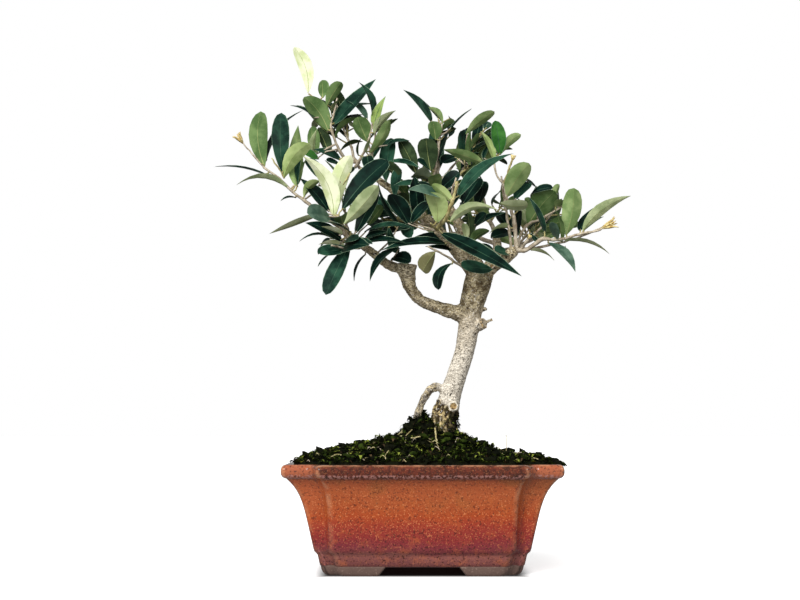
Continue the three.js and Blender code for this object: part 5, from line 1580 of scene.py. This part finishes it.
def leaf_faces():
    """The faces of a blade. Both sides are split the same way, so a rippled blade does not cut itself."""
    faces, parts = [tuple(range(RING))], [1]
    for i in range(len(LEAF_STEPS)):
        for j in range(RING):
            a, b = i * RING + j, i * RING + (j + 1) % RING
            if i + 1 < len(LEAF_STEPS):
                under = STRIP_PARTS[j] == 1
                faces.append((b, a, a + RING, b + RING) if under else (a, a + RING, b + RING, b))
            else:
                faces.append((a, len(LEAF_STEPS) * RING, b))
            parts.append(STRIP_PARTS[j])
    return faces, parts


LEAF_FACES, LEAF_PARTS = leaf_faces()


def leaf_points(leaf, wave, phase):
    """A closed blade: two halves folded up from the rib, a thin margin and a keel below."""
    points = []
    for t in LEAF_STEPS:
        half = max(half_width(leaf, t), SECTION["least"])
        rib = min(SECTION["rib"] * (1.15 - t), SECTION["rib_share"] * half)
        keel = SECTION["keel"][0] + SECTION["keel"][1] * (1 - t)
        ripple = wave * half * math.sin(SECTION["ripples"] * t + phase)
        fold = leaf.get("fold", LEAF["fold"]) * half
        left, right = fold + ripple, fold - ripple
        blade = max(half - SECTION["margin"], SECTION["blade"] * half) / half
        middle, normal = leaf_place(leaf, t, 0), leaf_normal(leaf, t)
        for side, lift in (
            (-half, left), (-half * blade, left * blade), (-rib, 0.0), (rib, 0.0),
            (half * blade, right * blade), (half, right), (rib, -keel), (-rib, -keel),
        ):
            points.append(middle + leaf["across"] * side + normal * lift)
    points.append(leaf_place(leaf, 1.0, 0))
    return points


def twig_into(heap, points, radii, tone, sides=6):
    """A closed tube along points."""
    rings = tube_rings(np.asarray(points), radii, sides)
    faces = [tuple(range(sides))[::-1]]
    for i in range(len(rings) - 1):
        for j in range(sides):
            a, b = i * sides + j, i * sides + (j + 1) % sides
            faces.append((a, b, b + sides, a + sides))
    faces.append(tuple(range((len(rings) - 1) * sides, len(rings) * sides)))
    heap.add(np.concatenate(rings), faces, tone)


def put_leaf(heap, leaf, tone, draw, upper=None):
    """A leaf in a heap, with the tone's underside and, unless another is given, its upper side."""
    ribs = 2 * LEAF_TONES
    kinds = (tone if upper is None else upper, LEAF_TONES + tone, ribs, ribs + 1, ribs + 2)
    parts = [kinds[part] for part in LEAF_PARTS]
    heap.add(leaf_points(leaf, draw.uniform(*LEAF["ripple"]), draw.uniform(0, 6.3)), LEAF_FACES, parts)


def seen_at(places):
    """Where places show from the front, on the upright plane through the middle of the pot."""
    places = np.asarray(places, float)
    share = EYE[1] / (EYE[1] - places[..., 1])
    return EYE[[0, 2]] + (places[..., [0, 2]] - EYE[[0, 2]]) * share[..., None]


def set_leaf(row, draw):
    """A leaf between two given points, turned so that it shows the given side and width to the front."""
    root, tip = np.array(row[0:3], float), np.array(row[3:6], float)
    apparent, show, bow, tone = row[6:10]
    chord = tip - root
    span = np.linalg.norm(chord)
    chord = chord / span
    front = unit(EYE - root)
    front = unit(front - chord * front.dot(chord))
    right = np.cross(chord, front)
    beside = right if right[2] > 0 else -right
    normal = unit(front * show + beside * math.sqrt(1 - show ** 2))
    bend = draw.uniform(*SET_LEAF["bend"])
    broad = SET_LEAF["broad"] if span > SET_LEAF["short"] else SET_LEAF["short_broad"]
    width = min(apparent / abs(show), broad * span, SET_LEAF["broadest"])
    slim = apparent / span < SET_LEAF["slim"]
    return {
        "root": root, "along": chord * math.cos(bend / 2) + normal * math.sin(bend / 2),
        "face": normal * math.cos(bend / 2) - chord * math.sin(bend / 2), "across": np.cross(chord, normal),
        "length": span * bend / (2 * math.sin(bend / 2)), "width": width, "bend": bend,
        "bow": right * bow * span, "point": SET_LEAF["slim_point"] if slim else 1.0,
        "widest": draw.uniform(*SET_LEAF["slim_widest" if slim else "widest"]),
        "fold": draw.uniform(*SET_LEAF["fold"]), "tone": tone,
    }


def inside(outline, places):
    """Which of the flat places lie within a flat outline."""
    x, y = places[:, 0, None], places[:, 1, None]
    ax, ay = outline[:, 0], outline[:, 1]
    bx, by = np.roll(ax, -1), np.roll(ay, -1)
    crosses = ((ay > y) != (by > y)) & (x < (bx - ax) * (y - ay) / np.where(by == ay, 1e-9, by - ay) + ax)
    return crosses.sum(axis=1) % 2 == 1


def within_ovals(places, ovals):
    """Which flat places lie in which ovals, given as middles and half sizes."""
    return (((places[:, None] - ovals[:, :2]) / ovals[:, 2:]) ** 2).sum(axis=2) < 1


class Front:
    """The twigs and leaves set one by one on the front of the crown."""

    def __init__(self, leaves, twigs):
        draw = np.random.default_rng(SEEDS["front"])
        carriers = joined(LIMB_GUIDES + [self.set_twig(twigs, row, draw) for row in SET_TWIGS])
        self.shown = []
        for row in SET_LEAVES:
            leaf = set_leaf(row, draw)
            held = nearest_on(carriers, leaf["root"])
            away = np.linalg.norm(held - leaf["root"])
            if away > STALK["from"]:
                middle = (held + leaf["root"]) / 2 + draw.normal(0, STALK["crook"] * away, 3)
                path = [held, middle, leaf["root"] + leaf["along"] * STALK["into"]]
                twig_into(twigs, path, STALK["radii"], OLD_TWIG if away > STALK["woody"] else YOUNG_TWIG, 5)
            put_leaf(leaves, leaf, leaf["tone"], draw)
            outline = leaf_outline(leaf)
            self.shown.append((seen_at(outline), outline[:, 1].max()))
        self.closed, self.opened = np.array(CLOSED, float), np.array(OPEN, float)

    def set_twig(self, twigs, row, draw):
        thick, thin, young, points = row
        points = np.array(points, float)
        count = 4 * len(points)
        alongs = np.linspace(0, 1, count)
        path = np.array([limb_point(points, along) for along in alongs])
        path[1:-1] += draw.normal(0, SET_TWIG["sway"], (count - 2, 3))
        lumps = SET_TWIG["lumps"] * np.sin(alongs * SET_TWIG["lumps_each"] * len(points))
        radii = np.linspace(thick, thin, count) * (1 + lumps)
        twig_into(twigs, path, radii, YOUNG_TWIG if young else OLD_TWIG)
        return path[:-1], path[1:], radii[:-1]

    def has_room(self, leaf):
        """Whether a grown leaf neither hides a set one nor closes an opening of the crown."""
        samples = leaf_samples(leaf)
        flat = seen_at(samples)
        if np.any(within_ovals(flat, self.opened)):
            return False
        covered = within_ovals(flat, self.closed).any(axis=1)
        for outline, depth in self.shown:
            behind = inside(outline, flat)
            covered |= behind
            if np.any(behind & (samples[:, 1] < depth + BEHIND)):
                return False
        return covered.mean() > COVERED


def crooked(path, count, sway, draw):
    """Points along a twig, moved a little to and fro between its ends."""
    points = np.array([path.point(along) for along in np.linspace(0, 1, count)])
    points[1:-1] += draw.normal(0, sway, (count - 2, 3))
    return points


def fill_mass(index, front, leaves_heap, twigs_heap, draw):
    """The grown leaves of a mass for which the front has room, with the twigs that bear them."""
    mass, stem = MASSES[index], STEMS[index]
    shoots, grown, guides = grow_mass(index)
    leaves = [leaf for leaf in grown if front.has_room(leaf)]
    weights = np.array(mass["tones"], float) / sum(mass["tones"])

    def any_tone():
        return int(draw.choice(GROWN_TONES, p=weights))

    spray_tones = {owner: any_tone() for owner in range(-1, len(shoots))}
    for leaf in leaves:
        tone = spray_tones[leaf["shoot"]]
        if draw.random() < GROWN["stray"]:
            tone = any_tone()
        leaf["length"] *= draw.uniform(*GROWN["longer"])
        leaf["width"] *= draw.uniform(*GROWN["wider"])
        leaf["point"] = GROWN["slim_point"] if leaf["width"] < GROWN["slim"] * leaf["length"] else 1.0
        put_leaf(leaves_heap, leaf, tone, draw, min(tone, 1))
    if not leaves:
        return
    thick = BEARER["stem_behind" if mass["on"] == "bough_back" else "stem"]
    radii = np.linspace(thick, BEARER["stem_end"] * thick, BEARER["stem_points"])
    twig_into(twigs_heap, crooked(stem, BEARER["stem_points"], BEARER["stem_sway"], draw), radii, OLD_TWIG)
    bearing = [shoot for i, shoot in enumerate(shoots) if any(leaf["shoot"] == i for leaf in leaves)]
    for shoot in bearing:
        points = crooked(shoot, BEARER["shoot_points"], BEARER["shoot_sway"], draw)
        tone = YOUNG_TWIG if draw.random() < BEARER["young"] else OLD_TWIG
        twig_into(twigs_heap, points, np.linspace(*BEARER["shoot"], BEARER["shoot_points"]), tone)

    # Twiglets with a pair of small leaves each, where there is still room for them, and more at the back.
    more = TWIGLET["more_behind"] if mass["middle"][1] > TWIGLET["behind"] else 0
    for path in (stem, *bearing):
        for at in np.linspace(*TWIGLET["along"], TWIGLET["on_stem" if path is stem else "on_shoot"] + more):
            tangent = path.tangent(at)
            out = outwards(tangent, draw.uniform(0, 6.3))
            towards = unit(tangent * TWIGLET["ahead"] + out + UP * TWIGLET["rise"])
            root = path.point(at)
            reach = draw.uniform(*TWIGLET["length"])
            small = []
            for opposite in (0, math.pi):
                for size in TWIGLET["tries"]:
                    angle = opposite + draw.uniform(*TWIGLET["turn"])
                    leaf = grow_leaf(root + towards * reach, towards, angle, size, mass["lift"],
                                     lambda: float(draw.random()))
                    if leaf_fits(index, leaf, guides, leaves) and front.has_room(leaf):
                        leaves.append(leaf)
                        small.append(leaf)
                        break
            if not small:
                continue
            middle = root + towards * reach * 0.5 + draw.normal(0, TWIGLET["crook"], 3)
            twig_into(twigs_heap, [root, middle, root + towards * reach], TWIGLET["radii"], YOUNG_TWIG, 5)
            for leaf in small:
                tone = any_tone()
                put_leaf(leaves_heap, leaf, min(tone, 3), draw, min(tone, 1))


def make_flower_cups(draw):
    """Dry cups of bent sepals."""
    cups = Heap()
    for place, towards, size in FLOWER_CUPS:
        place, towards = np.array(place, float), unit(np.array(towards, float))
        for k in range(SEPAL["count"]):
            out = outwards(towards, k * FULL_TURN / SEPAL["count"] + draw.normal(0, SEPAL["sway"]))
            bend = draw.uniform(*SEPAL["bend"])
            steps = ((-0.3, 0), (0.35, 0.22), (0.75, 0.45 * bend), (1, 0.75 * bend))
            path = [place + towards * size * ahead + out * size * aside for ahead, aside in steps]
            twig_into(cups, path, SEPAL["radii"], 0, 5)
    cups.make("flower_cups", [FLOWER_CUP], "leaf")


def make_foliage():
    leaves, twigs = Heap(), Heap()
    front = Front(leaves, twigs)
    for index, mass in enumerate(MASSES):
        draw = np.random.default_rng(mass["seed"])
        fill_mass(index, front, leaves, twigs, draw)
    make_flower_cups(draw)
    nodes = [mass["name"] for mass in MASSES]
    leaves.make("leaves", LEAF_MATERIALS, "leaf", nodes, crease=1.3)
    twigs.make("twigs", TWIG_MATERIALS, "bark", nodes)


def make_litter():
    """Straws and rootlets that lie on the moss: those listed, and short ones strewn over it."""
    draw = np.random.default_rng(SEEDS["litter"])
    litter = Heap()
    for points, thick, thin in LITTER:
        ends = np.array(points, float)
        path = np.array([limb_point(ends, along) for along in np.linspace(0, 1, LITTER_POINTS)])
        path[:, 2] = np.maximum(path[:, 2], [moss_height(x, y) + LITTER_LIFT for x, y, _ in path])
        twig_into(litter, path, np.linspace(thick, thin, LITTER_POINTS), 0, 5)
    for _ in range(STRAWS["tries"]):
        x = draw.uniform(BRIM_LOW[0] + STRAWS["margin"], BRIM_HIGH[0] - STRAWS["margin"])
        y = draw.uniform(BRIM_LOW[1] + STRAWS["front_margin"], BRIM_HIGH[1] - STRAWS["margin"])
        if from_seat(x, y)[0] < STRAWS["clear"]:
            continue
        out = level(draw.uniform(0, FULL_TURN)) * draw.uniform(*STRAWS["half"])
        path = []
        for share, lift in STRAWS["steps"]:
            px, py = x + out[0] * share, y + out[1] * share
            path.append([px, py, moss_height(px, py) + lift])
        twig_into(litter, path, STRAWS["radii"], int(draw.random() < STRAWS["dark"]), 4)
    litter.make("litter", [STRAW, TWIG_OLD], "moss")


make_pot()
make_feet()
make_moss_bed()
make_sprigs()
make_limbs()
make_foliage()
make_litter()


# Earth, floor, light and camera

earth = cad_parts["earth"]
earth.data.materials.clear()
earth.data.materials.append(EARTH)

bm = bmesh.new()
bmesh.ops.create_circle(bm, cap_ends=True, segments=96, radius=9.0)
floor_mesh = mesh_of(bm, "floor", False)
floor_mesh.materials.append(material("pale_floor", floor_paint, **{"Emission Strength": 0.62}))
floor = bpy.data.objects.new("floor", floor_mesh)
bpy.context.scene.collection.objects.link(floor)
floor.visible_diffuse = False
floor.visible_glossy = False


def hang(name, data, towards):
    lamp = bpy.data.objects.new(name, data)
    lamp.rotation_euler = Vector(towards).to_track_quat("-Z", "Y").to_euler()
    bpy.context.scene.collection.objects.link(lamp)
    return lamp


def soft_light(name, place, aim, size, power):
    """A square soft box."""
    data = bpy.data.lights.new(name, "AREA")
    data.shape = "RECTANGLE"
    data.size = data.size_y = size
    data.energy = power
    hang(name, data, Vector(aim) - Vector(place)).location = place


def sun(name, towards, strength, spread):
    """Broad daylight that leaves no sheen on the leaves."""
    data = bpy.data.lights.new(name, "SUN")
    data.energy = strength
    data.angle = math.radians(spread)
    hang(name, data, towards).visible_glossy = False


sun("overhead", (0.4, 1.0, -0.85), 2.5, 45)
sun("from_the_front", (0.15, 1.0, -0.12), 0.9, 60)
soft_light("left_box", (-0.75, -1.0, 0.75), (0, 0, 0.2), 0.28, 4.5)
soft_light("right_box", (0.8, -0.9, 0.7), (0, 0, 0.15), 0.24, 2.4)

# White to the camera, and a weaker light on the plant.
world = bpy.data.worlds.new("studio")
world.use_nodes = True
nodes, links = world.node_tree.nodes, world.node_tree.links
backdrop = nodes["Background"]
backdrop.inputs["Color"].default_value = (1, 1, 1, 1)
backdrop.inputs["Strength"].default_value = 1.0
ambient = nodes.new("ShaderNodeBackground")
ambient.inputs["Color"].default_value = (1, 1, 1, 1)
ambient.inputs["Strength"].default_value = 0.26
seen = nodes.new("ShaderNodeLightPath")
choice = nodes.new("ShaderNodeMixShader")
links.new(seen.outputs["Is Camera Ray"], choice.inputs["Fac"])
links.new(ambient.outputs[0], choice.inputs[1])
links.new(backdrop.outputs[0], choice.inputs[2])
links.new(choice.outputs[0], nodes["World Output"].inputs["Surface"])
scene = bpy.context.scene
scene.world = world
scene.view_settings.view_transform = "Standard"

camera_data = bpy.data.cameras.new("camera")
camera_data.lens = LENS
camera_data.sensor_width = SENSOR
camera = bpy.data.objects.new("camera", camera_data)
camera.location = metres(EYE)
camera.rotation_euler = (math.pi / 2 + math.radians(LOOK_UP), 0, 0)
scene.collection.objects.link(camera)
scene.camera = camera
